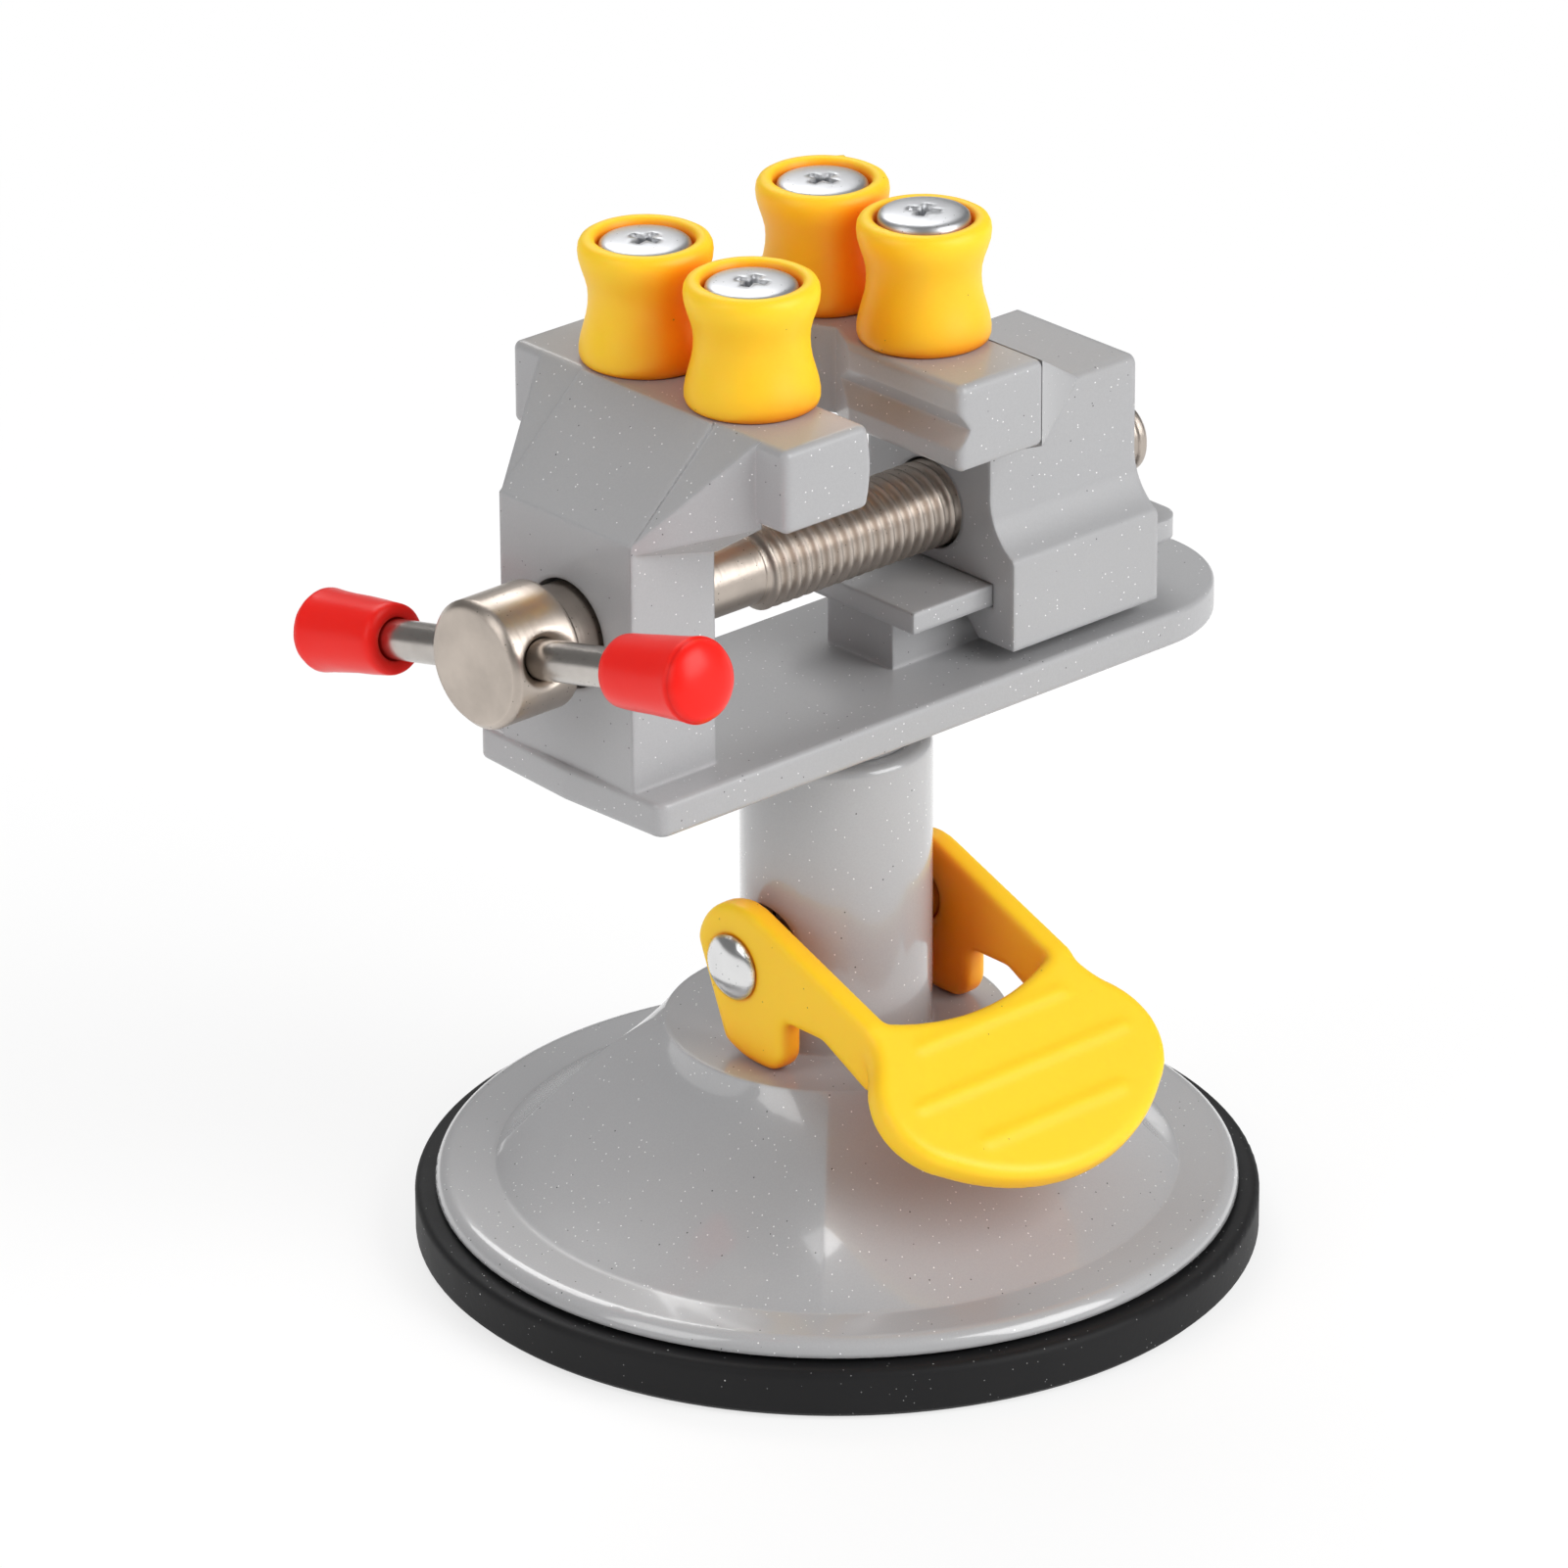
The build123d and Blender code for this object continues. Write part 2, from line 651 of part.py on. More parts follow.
with BuildPart() as moving_jaw:
    # Slider: wide feet that reach under the rail, drawn in to a narrow upper part
    with BuildSketch(Plane.YZ.offset(slider_front)):
        with BuildLine():
            Polyline(
                (0, slider_top),
                (slider_upper_half, slider_top),
                (slider_upper_half, slider_neck_z),
            )
            TangentArc(
                (slider_upper_half, slider_neck_z),
                (slider_half, slider_waist_z),
                tangent=(0, -1),
            )
            Polyline(
                (slider_half, slider_waist_z),
                (slider_half, slider_bottom),
                (web_half + slide_gap + slider_foot_cut, slider_bottom),
                (web_half + slide_gap, slider_bottom + slider_foot_cut),
                (web_half + slide_gap, flange_bottom - slide_gap),
                (flange_half + slide_gap, flange_bottom - slide_gap),
                (flange_half + slide_gap, rail_top + slide_gap),
                (0, rail_top + slide_gap),
            )
            mirror(about=Plane.YZ)
        make_face()
    extrude(amount=slider_length)
    fillet(
        moving_jaw.edges().filter_by(Axis.X).group_by(Axis.Z)[-1]
        + moving_jaw.edges().filter_by(Axis.X).filter_by(lambda e: abs(e.center().Z - slider_waist_z) < 0.1),
        slider_edge,
    )

    # Gusset from the slider's top up to the jaw's back edge
    moving_root = [
        (-slider_upper_half, gusset_root_z),
        (-jaw_half, jaw_bottom),
        (-jaw_half, moving_jaw_top),
    ]
    with BuildSketch(Plane.YZ.offset(moving_jaw_back - gusset_overlap)):
        add(gusset_section(moving_root))
    with BuildSketch(Plane.YZ.offset(ramp_end)):
        add(gusset_section(gusset_tip(slider_upper_half, slider_top)))
    loft(ruled=True)

    # Jaw with a level and an upright V groove for round work
    add(jaw_block.part)
    with BuildSketch(Plane.XZ):
        with BuildLine():
            Polyline(
                (moving_jaw_face, groove_z - groove_half),
                (moving_jaw_face, groove_z + groove_half),
                (moving_jaw_face + groove_depth, groove_z),
                close=True,
            )
        make_face()
    extrude(amount=jaw_half + 1, both=True, mode=Mode.SUBTRACT)
    with BuildSketch(Plane.XY.offset(jaw_bottom - 1)):
        with BuildLine():
            Polyline(
                (moving_jaw_face, -notch_half),
                (moving_jaw_face, notch_half),
                (moving_jaw_face + notch_depth, 0),
                close=True,
            )
        make_face()
    extrude(amount=moving_jaw_top - jaw_bottom + 2, mode=Mode.SUBTRACT)

    # Screw hole, open at both ends, and the pegs' screw holes
    with BuildSketch(Plane.YZ.offset(slider_front)):
        with Locations((0, screw_z)):
            Circle(nut_bore)
    extrude(amount=slider_length, mode=Mode.SUBTRACT)
    for side in (-1, 1):
        with BuildSketch(Plane.XY.offset(moving_jaw_top)):
            with Locations((moving_peg_x, side * moving_peg_y)):
                Circle(peg_screw_radius + seat_gap)
        extrude(amount=-peg_screw_grip - 0.5, mode=Mode.SUBTRACT)
moving_jaw.part.label = "moving_jaw"

# ------------------------------------------------------------------ lead screw and its clip
bar_origin = (bar_centre_x, 0, screw_z)
bar_direction = (0, -cos(radians(bar_tilt)), sin(radians(bar_tilt)))
bar_plane = Plane(
    bar_origin,
    x_dir=(1, 0, 0),
    z_dir=(0, -sin(radians(bar_tilt)), -cos(radians(bar_tilt))),
)
bar_axis = Axis(bar_origin, bar_direction)
bar_hole = bar_radius + run_gap

with BuildPart() as lead_screw:
    groove_front = clip_front - run_gap
    groove_back = clip_front + clip_thickness + run_gap
    step_x = bed_front + step_depth - run_gap
    with BuildSketch(Plane.XZ):
        with BuildLine():
            Polyline(
                (screw_head_front, screw_z),
                (screw_head_front, screw_z + screw_head_radius - 0.7),
                (screw_head_front + 0.7, screw_z + screw_head_radius),
                (screw_head_back - 0.7, screw_z + screw_head_radius),
                (screw_head_back, screw_z + screw_head_radius - 0.7),
                (screw_head_back, screw_z + neck_radius),
                (step_x, screw_z + neck_radius),
                (step_x, screw_z + journal_radius),
                (groove_front, screw_z + journal_radius),
                (groove_front, screw_z + groove_radius),
                (groove_back, screw_z + groove_radius),
                (groove_back, screw_z + journal_radius),
                (groove_back + 1.2, screw_z + journal_radius),
                (groove_back + 1.6, screw_z + relief_radius),
                (thread_start, screw_z + relief_radius),
                (thread_start, screw_z + core_radius),
                (thread_end, screw_z + core_radius),
                (thread_end, screw_z + tail_radius),
                (screw_tail - 0.8, screw_z + tail_radius),
                (screw_tail, screw_z + tail_radius - 0.8),
                (screw_tail, screw_z),
                close=True,
            )
        make_face()
    revolve(axis=screw_axis)

    # Cross bar's hole, flared at both ends
    with BuildSketch(bar_plane):
        with BuildLine():
            Polyline(
                (0, -screw_head_radius - 1),
                (bar_hole + bar_hole_flare, -screw_head_radius - 1),
                (bar_hole, -screw_head_radius + 1.4),
                (bar_hole, screw_head_radius - 1.4),
                (bar_hole + bar_hole_flare, screw_head_radius + 1),
                (0, screw_head_radius + 1),
                close=True,
            )
        make_face()
    revolve(axis=bar_axis, mode=Mode.SUBTRACT)

    thread_first = thread_start + pitch / 2
    thread_length = thread_end - thread_start - pitch
    with BuildLine() as thread_path:
        Helix(pitch, thread_length, core_radius, center=(thread_first, 0, screw_z), direction=(1, 0, 0))
    with BuildSketch(
        Plane(thread_path.line @ 0, x_dir=(0, 0, 1), z_dir=thread_path.line % 0)
    ):
        with BuildLine():
            Polyline(
                (-0.2, -thread_root_half),
                (crest_radius - core_radius, -thread_crest_half),
                (crest_radius - core_radius, thread_crest_half),
                (-0.2, thread_root_half),
                close=True,
            )
        make_face()
    sweep(path=thread_path.line, is_frenet=True)
lead_screw.part.label = "lead_screw"

with BuildPart() as screw_clip:
    with BuildSketch(Plane((clip_front, 0, screw_z), x_dir=(0, 1, 0), z_dir=(1, 0, 0))):
        add(clip_profile(screw_clip_radius, groove_radius + seat_gap, 2 * groove_radius - 1.0))
    extrude(amount=clip_thickness)
screw_clip.part.label = "screw_clip"

# ------------------------------------------------------------------ cross bar and its caps
near_bar_end = near_tip - cap_end_wall
far_bar_end = far_tip + cap_end_wall
with BuildPart() as tommy_bar:
    with BuildSketch(bar_plane):
        with BuildLine():
            Polyline(
                (0, far_bar_end),
                (bar_radius - 0.5, far_bar_end),
                (bar_radius, far_bar_end + 0.5),
                (bar_radius, near_bar_end - 0.5),
                (bar_radius - 0.5, near_bar_end),
                (0, near_bar_end),
                close=True,
            )
        make_face()
    revolve(axis=bar_axis)
tommy_bar.part.label = "tommy_bar"


def bar_cap(mouth, tip):
    """Vinyl cap pushed over one end of the bar: a tapered sleeve with a flat dome on its end"""
    way = 1 if tip > mouth else -1
    seam = mouth + way * cap_sleeve
    pocket = tip - way * cap_end_wall
    bore = bar_radius + seat_gap
    with BuildPart() as cap:
        with BuildSketch(bar_plane):
            with BuildLine():
                Polyline(
                    (0, pocket),
                    (bore, pocket),
                    (bore, mouth),
                    (cap_mouth_radius - 0.5, mouth),
                    (cap_mouth_radius, mouth + way * 0.5),
                    (cap_radius, seam),
                )
                TangentArc((0, tip), (cap_radius, seam), tangent=(1, 0))
                Line((0, tip), (0, pocket))
            make_face()
        revolve(axis=bar_axis)
    return cap.part


near_cap = bar_cap(near_cap_mouth, near_tip)
near_cap.label = "near_cap"
far_cap = bar_cap(far_cap_mouth, far_tip)
far_cap.label = "far_cap"

# ------------------------------------------------------------------ pegs and their screws


def waisted_peg(place, seat_depth):
    """Peg with rounded rims, a drawn-in waist and a seat for its screw's head"""
    x, y, z = place
    with BuildPart() as peg:
        with BuildSketch(Plane((x, y, z), x_dir=(1, 0, 0), z_dir=(0, -1, 0))):
            with BuildLine():
                Polyline((peg_rim, peg_rim_height), (peg_rim, 0), (0, 0), (0, peg_height))
                Polyline((0, peg_height), (peg_rim, peg_height), (peg_rim, peg_height - peg_rim_height))
                ThreePointArc(
                    (peg_rim, peg_height - peg_rim_height),
                    (peg_waist, peg_height / 2),
                    (peg_rim, peg_rim_height),
                )
            make_face()
            fillet(vertices().sort_by(Axis.X)[-4:].sort_by(Axis.Y)[-1], 0.7)
        revolve(axis=Axis((x, y, z), (0, 0, 1)))
        with Locations((x, y, z + peg_height)):
            CounterBoreHole(
                peg_screw_radius + seat_gap,
                peg_screw_head + loose_gap,
                seat_depth,
                depth=peg_height + 1,
            )
    return peg.part


def peg_screw(place, seat_depth):
    """Cross-head screw through a peg: pan head, cross recess and plain shank"""
    x, y, z = place
    seat = z + peg_height - seat_depth
    head_top = seat + peg_screw_head_height
    with BuildPart() as screw:
        with BuildSketch(Plane((x, y, 0), x_dir=(1, 0, 0), z_dir=(0, -1, 0))):
            with BuildLine():
                Polyline(
                    (0.4 * peg_screw_head, head_top),
                    (0, head_top),
                    (0, z - peg_screw_grip),
                    (peg_screw_radius - 0.5, z - peg_screw_grip),
                    (peg_screw_radius, z - peg_screw_grip + 0.6),
                    (peg_screw_radius, seat),
                    (peg_screw_head, seat),
                    (peg_screw_head, seat + 1.0),
                )
                TangentArc(
                    (0.4 * peg_screw_head, head_top),
                    (peg_screw_head, seat + 1.0),
                    tangent=(1, 0),
                )
            make_face()
        revolve(axis=Axis((x, y, 0), (0, 0, 1)))
        with BuildSketch(Plane.XY.offset(head_top - 1.7)):
            with Locations((x, y)):
                Rectangle(5.2, 1.0, rotation=20)
                Rectangle(1.0, 5.2, rotation=20)
        extrude(amount=3, taper=-8, mode=Mode.SUBTRACT)
    return screw.part


peg_places = {
    "fixed_near": ((fixed_peg_x, -fixed_peg_y, jaw_top), peg_seat_depth),
    "fixed_far": ((fixed_peg_x, fixed_peg_y, jaw_top), peg_seat_depth),
    "moving_near": ((moving_peg_x, -moving_peg_y, moving_jaw_top), peg_proud_seat),
    "moving_far": ((moving_peg_x, moving_peg_y, moving_jaw_top), peg_seat_depth),
}

# ------------------------------------------------------------------ bed's screw and washer
with BuildPart() as bed_washer:
    with BuildSketch(Plane.XY.offset(bore_top - washer_thickness)):
        Circle(washer_radius)
        Circle(bed_screw_radius + 0.2, mode=Mode.SUBTRACT)
    extrude(amount=washer_thickness)
bed_washer.part.label = "bed_washer"

with BuildPart() as bed_screw:
    head_seat = bore_top - washer_thickness
    with BuildSketch(Plane.XY.offset(head_seat - bed_screw_head_height)):
        Circle(bed_screw_head)
    extrude(amount=bed_screw_head_height)
    chamfer(bed_screw.edges().group_by(Axis.Z)[0], 0.5)
    with BuildSketch(Plane.XY.offset(head_seat)):
        Circle(bed_screw_radius)
    extrude(amount=boss_bottom + bed_screw_grip - head_seat)
    with BuildSketch(Plane.XY.offset(head_seat - bed_screw_head_height)):
        RegularPolygon(2.3, 6)
    extrude(amount=2.5, mode=Mode.SUBTRACT)
bed_screw.part.label = "bed_screw"

# ------------------------------------------------------------------ files
made = [
    suction_cup.part,
    base_housing.part,
    cup_stud.part,
    plunger.part,
    lever_pin.part,
    pin_clip.part,
    lever.part,
    vise_bed.part,
    bed_screw.part,
    bed_washer.part,
    moving_jaw.part,
    lead_screw.part,
    screw_clip.part,
    tommy_bar.part,
    near_cap,
    far_cap,
]
for corner, (place, seat_depth) in peg_places.items():
    peg = waisted_peg(place, seat_depth)
    peg.label = f"{corner}_peg"
    screw = peg_screw(place, seat_depth)
    screw.label = f"{corner}_screw"
    made += [peg, screw]
for piece in made:
    export_step(piece, f"parts/{piece.label}.step")
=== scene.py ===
import math

import bpy
from bpy.props import FloatProperty, FloatVectorProperty, IntProperty, PointerProperty
from mathutils import Matrix, Vector


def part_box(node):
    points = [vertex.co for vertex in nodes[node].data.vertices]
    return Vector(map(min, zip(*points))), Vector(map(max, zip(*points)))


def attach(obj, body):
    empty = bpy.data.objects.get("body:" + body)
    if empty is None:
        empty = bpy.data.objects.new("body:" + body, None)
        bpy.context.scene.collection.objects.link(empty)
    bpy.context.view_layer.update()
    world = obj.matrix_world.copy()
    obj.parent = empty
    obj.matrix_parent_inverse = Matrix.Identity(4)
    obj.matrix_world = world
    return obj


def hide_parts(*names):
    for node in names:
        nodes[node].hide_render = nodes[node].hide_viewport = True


bl_info = {
    "name": "Suction base vise",
    "version": (1, 0, 0),
    "blender": (4, 5, 0),
    "location": "3D View > Sidebar > Vise",
    "description": "Dresses the vise: cast paint, yellow pegs and lever, red caps, steel and rubber",
    "category": "Object",
}

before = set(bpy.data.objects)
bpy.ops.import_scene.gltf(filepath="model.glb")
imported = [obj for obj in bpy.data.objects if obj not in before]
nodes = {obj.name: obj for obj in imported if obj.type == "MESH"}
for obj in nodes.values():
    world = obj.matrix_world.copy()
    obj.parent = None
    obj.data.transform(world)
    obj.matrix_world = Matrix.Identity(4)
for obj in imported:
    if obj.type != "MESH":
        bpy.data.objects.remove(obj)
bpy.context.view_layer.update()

MM = 0.001
merge_distance = 1e-6         # vertices nearer than this are one
turned_smooth = math.radians(50)  # on a turned piece, edges flatter than this look smooth


# ---------------------------------------------------------------- sizes and colours a user may change
def colour(name, description, default):
    """A colour property in linear light"""
    return FloatVectorProperty(
        name=name, description=description, subtype="COLOR", size=3, min=0, max=1, default=default
    )


def length(name, description, default):
    """A length property in metres"""
    return FloatProperty(
        name=name, description=description, unit="LENGTH", subtype="DISTANCE", default=default, precision=5
    )


class ViseColours(bpy.types.PropertyGroup):
    """The finishes' main colours"""

    vise_silver: colour("Vise paint", "Satin paint on the bed and the moving jaw", (0.392, 0.392, 0.4))
    foot_silver: colour("Foot paint", "Glossy paint on the foot", (0.425, 0.425, 0.433))
    yellow: colour("Yellow plastic", "Pegs and lever", (1.0, 0.61, 0.012))
    # painted shade: the yellow plastic is drawn in this orange where little light reaches
    orange: colour("Yellow in hollows", "The same plastic where light hardly reaches", (1.0, 0.27, 0.001))
    red: colour("Red vinyl", "Caps on the cross bar", (0.86, 0.012, 0.007))
    rubber: colour("Rubber", "The foot's cup", (0.0075, 0.0075, 0.008))
    steel: colour("Steel", "Bright steel of the cross bar", (0.66, 0.62, 0.58))
    screw: colour("Screw", "Oiled steel of the lead screw", (0.66, 0.58, 0.51))
    zinc: colour("Zinc", "Plated screws, washer and stud", (0.70, 0.71, 0.73))
    chrome: colour("Chrome", "The lever's pin", (0.8, 0.8, 0.8))
    spring: colour("Spring steel", "The clips", (0.2, 0.2, 0.2))
    cast: colour("Bare casting", "The plunger", (0.5, 0.5, 0.5))
    fleck: colour("Bright flecks", "Bright specks in the paint", (0.85, 0.85, 0.85))
    dust: colour("Dust", "Pale dust on the rubber", (0.22, 0.22, 0.22))
    speck: colour("Specks", "Brighter specks on the rubber", (0.5, 0.5, 0.5))
    floor: colour("Floor", "The pale floor", (0.92, 0.92, 0.92))


class ViseSizes(bpy.types.PropertyGroup):
    """Small sizes of the finish and the moulding"""

    plastic_round: length("Plastic rounding", "Size of the lever's softening grid", 0.00035)
    plastic_passes: IntProperty(
        name="Softening", description="Smoothing passes over the lever's edges", default=9, min=0, max=30
    )
    paint_round: length("Paint rounding", "How far paint rounds a casting's edges", 0.0009)
    nib_height: length("Moulding nib", "Height of the nib left on a peg's rim", 0.0006)
    nib_reach: FloatProperty(
        name="Nib's reach", description="Width of a nib's foot as a share of its height", default=1.6, min=0
    )
    uneven: length("Unevenness", "How far a moulded skin wavers", 0.0001)
    peg_waves: length("Peg waves", "Length of the waver on a peg's skin", 0.006)
    cap_waves: length("Cap waves", "Length of the waver on a cap's skin", 0.004)
    turned_sides: IntProperty(
        name="Turned sides", description="Sides of every turned piece", default=96, min=24, max=256
    )


# ---------------------------------------------------------------- modelling helpers
def clear_selection():
    """Leaves nothing selected and nothing in edit mode"""
    if bpy.context.object and bpy.context.object.mode != "OBJECT":
        bpy.ops.object.mode_set(mode="OBJECT")
    bpy.ops.object.select_all(action="DESELECT")


def pick(piece):
    """Makes a piece the only one selected"""
    clear_selection()
    piece.select_set(True)
    bpy.context.view_layer.objects.active = piece


def turned(name, profile_mm, sides, closed=False):
    """A piece turned about Z: a circle drawn on ring by ring through (radius, height) points in mm.

    A closed profile ends where it starts and leaves a hole; an open one ends in two discs.
    """
    clear_selection()
    profile = [(radius * MM, height * MM) for radius, height in profile_mm]
    radius, height = profile[0]
    bpy.ops.mesh.primitive_circle_add(vertices=sides, radius=radius, location=(0, 0, height))
    piece = bpy.context.object
    piece.name = name
    bpy.ops.object.transform_apply(location=True)
    bpy.ops.object.mode_set(mode="EDIT")
    bpy.ops.mesh.select_all(action="SELECT")
    if not closed:
        bpy.ops.mesh.edge_face_add()
    for next_radius, next_height in profile[1:]:
        rise = next_height - height
        bpy.ops.mesh.extrude_region_move(TRANSFORM_OT_translate={"value": (0, 0, rise)})
        share = next_radius / radius
        bpy.ops.transform.resize(value=(share, share, 1), center_override=(0, 0, next_height))
        radius, height = next_radius, next_height
    bpy.ops.mesh.select_all(action="SELECT")
    bpy.ops.mesh.remove_doubles(threshold=merge_distance)
    bpy.ops.mesh.normals_make_consistent(inside=False)
    bpy.ops.object.mode_set(mode="OBJECT")
    bpy.ops.object.shade_smooth_by_angle(angle=turned_smooth)
    return piece


def raise_nib(piece, place, outward, height, reach):
    """Pulls the vertex nearest to a place out into a small nib; reach is its foot's width"""
    pick(piece)
    bpy.ops.object.mode_set(mode="EDIT")
    bpy.ops.mesh.select_all(action="DESELECT")
    bpy.ops.object.mode_set(mode="OBJECT")
    nearest = min(piece.data.vertices, key=lambda v: (v.co - Vector(place)).length)
    nearest.select = True
    bpy.ops.object.mode_set(mode="EDIT")
    bpy.ops.transform.translate(
        value=Vector(outward).normalized() * height,
        use_proportional_edit=True,
        proportional_edit_falloff="SHARP",
        proportional_size=reach,
    )
    bpy.ops.object.mode_set(mode="OBJECT")


def make_uneven(piece, depth, size, seed):
    """Wavers a moulded piece's skin inwards by a small depth"""
    pick(piece)
    clouds = bpy.data.textures.new(f"uneven_{seed}", "CLOUDS")
    clouds.noise_scale = size
    waver = piece.modifiers.new("uneven", "DISPLACE")
    waver.texture = clouds
    waver.texture_coords = "LOCAL"
    waver.strength = depth
    waver.mid_level = 1.0
    bpy.ops.object.modifier_apply(modifier=waver.name)


def stand(piece, foot, direction=(0, 0, 1)):
    """Puts a turned piece's axis on a line and its start at foot, kept in the mesh"""
    turn = Vector(direction).to_track_quat("Z", "Y").to_matrix().to_4x4()
    piece.data.transform(Matrix.Translation(foot) @ turn)
    piece.data.update()
    return piece


def softened_copy(node, name, grid, passes):
    """A copy of a CAD node whose edges are rounded off as moulding does: remeshed on a grid, then smoothed"""
    source = nodes[node]
    piece = source.copy()
    piece.data = source.data.copy()
    piece.name = name
    piece.parent = None
    piece.matrix_world = source.matrix_world
    bpy.context.collection.objects.link(piece)
    pick(piece)
    bpy.ops.object.mode_set(mode="EDIT")
    bpy.ops.mesh.select_all(action="SELECT")
    bpy.ops.mesh.remove_doubles(threshold=merge_distance)
    bpy.ops.object.mode_set(mode="OBJECT")
    remesh = piece.modifiers.new("grid", "REMESH")
    remesh.mode = "VOXEL"
    remesh.voxel_size = grid
    bpy.ops.object.modifier_apply(modifier=remesh.name)
    soften = piece.modifiers.new("soft", "SMOOTH")
    soften.factor = 0.5
    soften.iterations = passes
    bpy.ops.object.modifier_apply(modifier=soften.name)
    bpy.ops.object.shade_smooth()
    piece.data.materials.clear()
    return piece


# ---------------------------------------------------------------- material helpers
def new_group(name, inputs, outputs):
    """An empty shader node group with named sockets: (name, kind, default)"""
    group = bpy.data.node_groups.new(name, "ShaderNodeTree")
    for label, kind, default in inputs:
        socket = group.interface.new_socket(name=label, in_out="INPUT", socket_type=kind)
        socket.default_value = default
    for label, kind in outputs:
        group.interface.new_socket(name=label, in_out="OUTPUT", socket_type=kind)
    start = group.nodes.new("NodeGroupInput")
    end = group.nodes.new("NodeGroupOutput")
    return group, start, end


def math_node(tree, operation, a, b=None, clamp=False):
    """A Math node fed by sockets or numbers"""
    node = tree.nodes.new("ShaderNodeMath")
    node.operation = operation
    node.use_clamp = clamp
    for place, value in enumerate((a, b)):
        if value is None:
            continue
        if isinstance(value, (int, float)):
            node.inputs[place].default_value = value
        else:
            tree.links.new(value, node.inputs[place])
    return node.outputs[0]


def noise(tree, vector, scale, detail, roughness):
    """A noise texture's value"""
    node = tree.nodes.new("ShaderNodeTexNoise")
    node.inputs["Detail"].default_value = detail
    node.inputs["Roughness"].default_value = roughness
    if isinstance(scale, (int, float)):
        node.inputs["Scale"].default_value = scale
    else:
        tree.links.new(scale, node.inputs["Scale"])
    tree.links.new(vector, node.inputs["Vector"])
    return node.outputs[0]


def object_place(tree):
    """The point's own place on the object"""
    return tree.nodes.new("ShaderNodeTexCoord").outputs["Object"]


def blend_colour(tree, factor, a, b):
    """Mixes two colours, given as sockets or values"""
    node = tree.nodes.new("ShaderNodeMix")
    node.data_type = "RGBA"
    tree.links.new(factor, node.inputs["Factor"])
    for label, value in (("A", a), ("B", b)):
        socket = [s for s in node.inputs if s.name == label and s.type == "RGBA"][0]
        if isinstance(value, (tuple, list)):
            socket.default_value = (*value[:3], 1)
        else:
            tree.links.new(value, socket)
    return [s for s in node.outputs if s.type == "RGBA"][0]


def make_flecks():
    """Scattered small spots: cells whose middles lie near the surface, a share of them kept"""
    group, start, end = new_group(
        "Flecks",
        [
            ("Scale", "NodeSocketFloat", 800.0),
            ("Size", "NodeSocketFloat", 0.2),
            ("Share", "NodeSocketFloat", 0.3),
        ],
        [("Mask", "NodeSocketFloat")],
    )
    cells = group.nodes.new("ShaderNodeTexVoronoi")
    group.links.new(object_place(group), cells.inputs["Vector"])
    group.links.new(start.outputs["Scale"], cells.inputs["Scale"])
    near = math_node(group, "LESS_THAN", cells.outputs["Distance"], start.outputs["Size"])
    split = group.nodes.new("ShaderNodeSeparateColor")
    group.links.new(cells.outputs["Color"], split.inputs[0])
    kept = math_node(group, "LESS_THAN", split.outputs[0], start.outputs["Share"])
    group.links.new(math_node(group, "MULTIPLY", near, kept), end.inputs["Mask"])
    return group


edge_contrast = 5.0      # how strongly the painted edge highlights stand out


def make_edges():
    """Rounded normal at edges, and a mask of the edges themselves for painted edge highlights, broken up by
    noise
    """
    group, start, end = new_group(
        "Edges",
        [("Wear", "NodeSocketFloat", 1.0)],
        [("Mask", "NodeSocketFloat"), ("Normal", "NodeSocketVector")],
    )
    bevel = group.nodes.new("ShaderNodeBevel")
    bevel.samples = 6
    bevel.inputs["Radius"].default_value = bpy.context.scene.vise_sizes.paint_round
    flat = group.nodes.new("ShaderNodeNewGeometry")
    facing = group.nodes.new("ShaderNodeVectorMath")
    facing.operation = "DOT_PRODUCT"
    group.links.new(bevel.outputs[0], facing.inputs[0])
    group.links.new(flat.outputs["Normal"], facing.inputs[1])
    bend = math_node(group, "SUBTRACT", 1.0, facing.outputs["Value"])
    broken = noise(group, object_place(group), 420.0, detail=4.0, roughness=0.65)
    # painted edge highlight: strong where the rounded normal bends away from the flat one, broken up by noise
    edge_highlight = math_node(group, "MULTIPLY", bend, math_node(group, "MULTIPLY", broken, edge_contrast))
    mask = math_node(group, "MULTIPLY", edge_highlight, start.outputs["Wear"], clamp=True)
    group.links.new(mask, end.inputs["Mask"])
    group.links.new(bevel.outputs[0], end.inputs["Normal"])
    return group


def make_cloud():
    """Slow uneven shade, from -1 to 1"""
    group, start, end = new_group(
        "Cloud", [("Scale", "NodeSocketFloat", 60.0)], [("Shade", "NodeSocketFloat")]
    )
    value = noise(group, object_place(group), start.outputs["Scale"], detail=4.0, roughness=0.55)
    centred = math_node(group, "SUBTRACT", value, 0.5)
    group.links.new(math_node(group, "MULTIPLY", centred, 2.0), end.inputs["Shade"])
    return group


def make_grain():
    """Fine height of a moulded or painted skin"""
    group, start, end = new_group(
        "Grain", [("Scale", "NodeSocketFloat", 900.0)], [("Height", "NodeSocketFloat")]
    )
    value = noise(group, object_place(group), start.outputs["Scale"], detail=2.0, roughness=0.5)
    group.links.new(value, end.inputs["Height"])
    return group


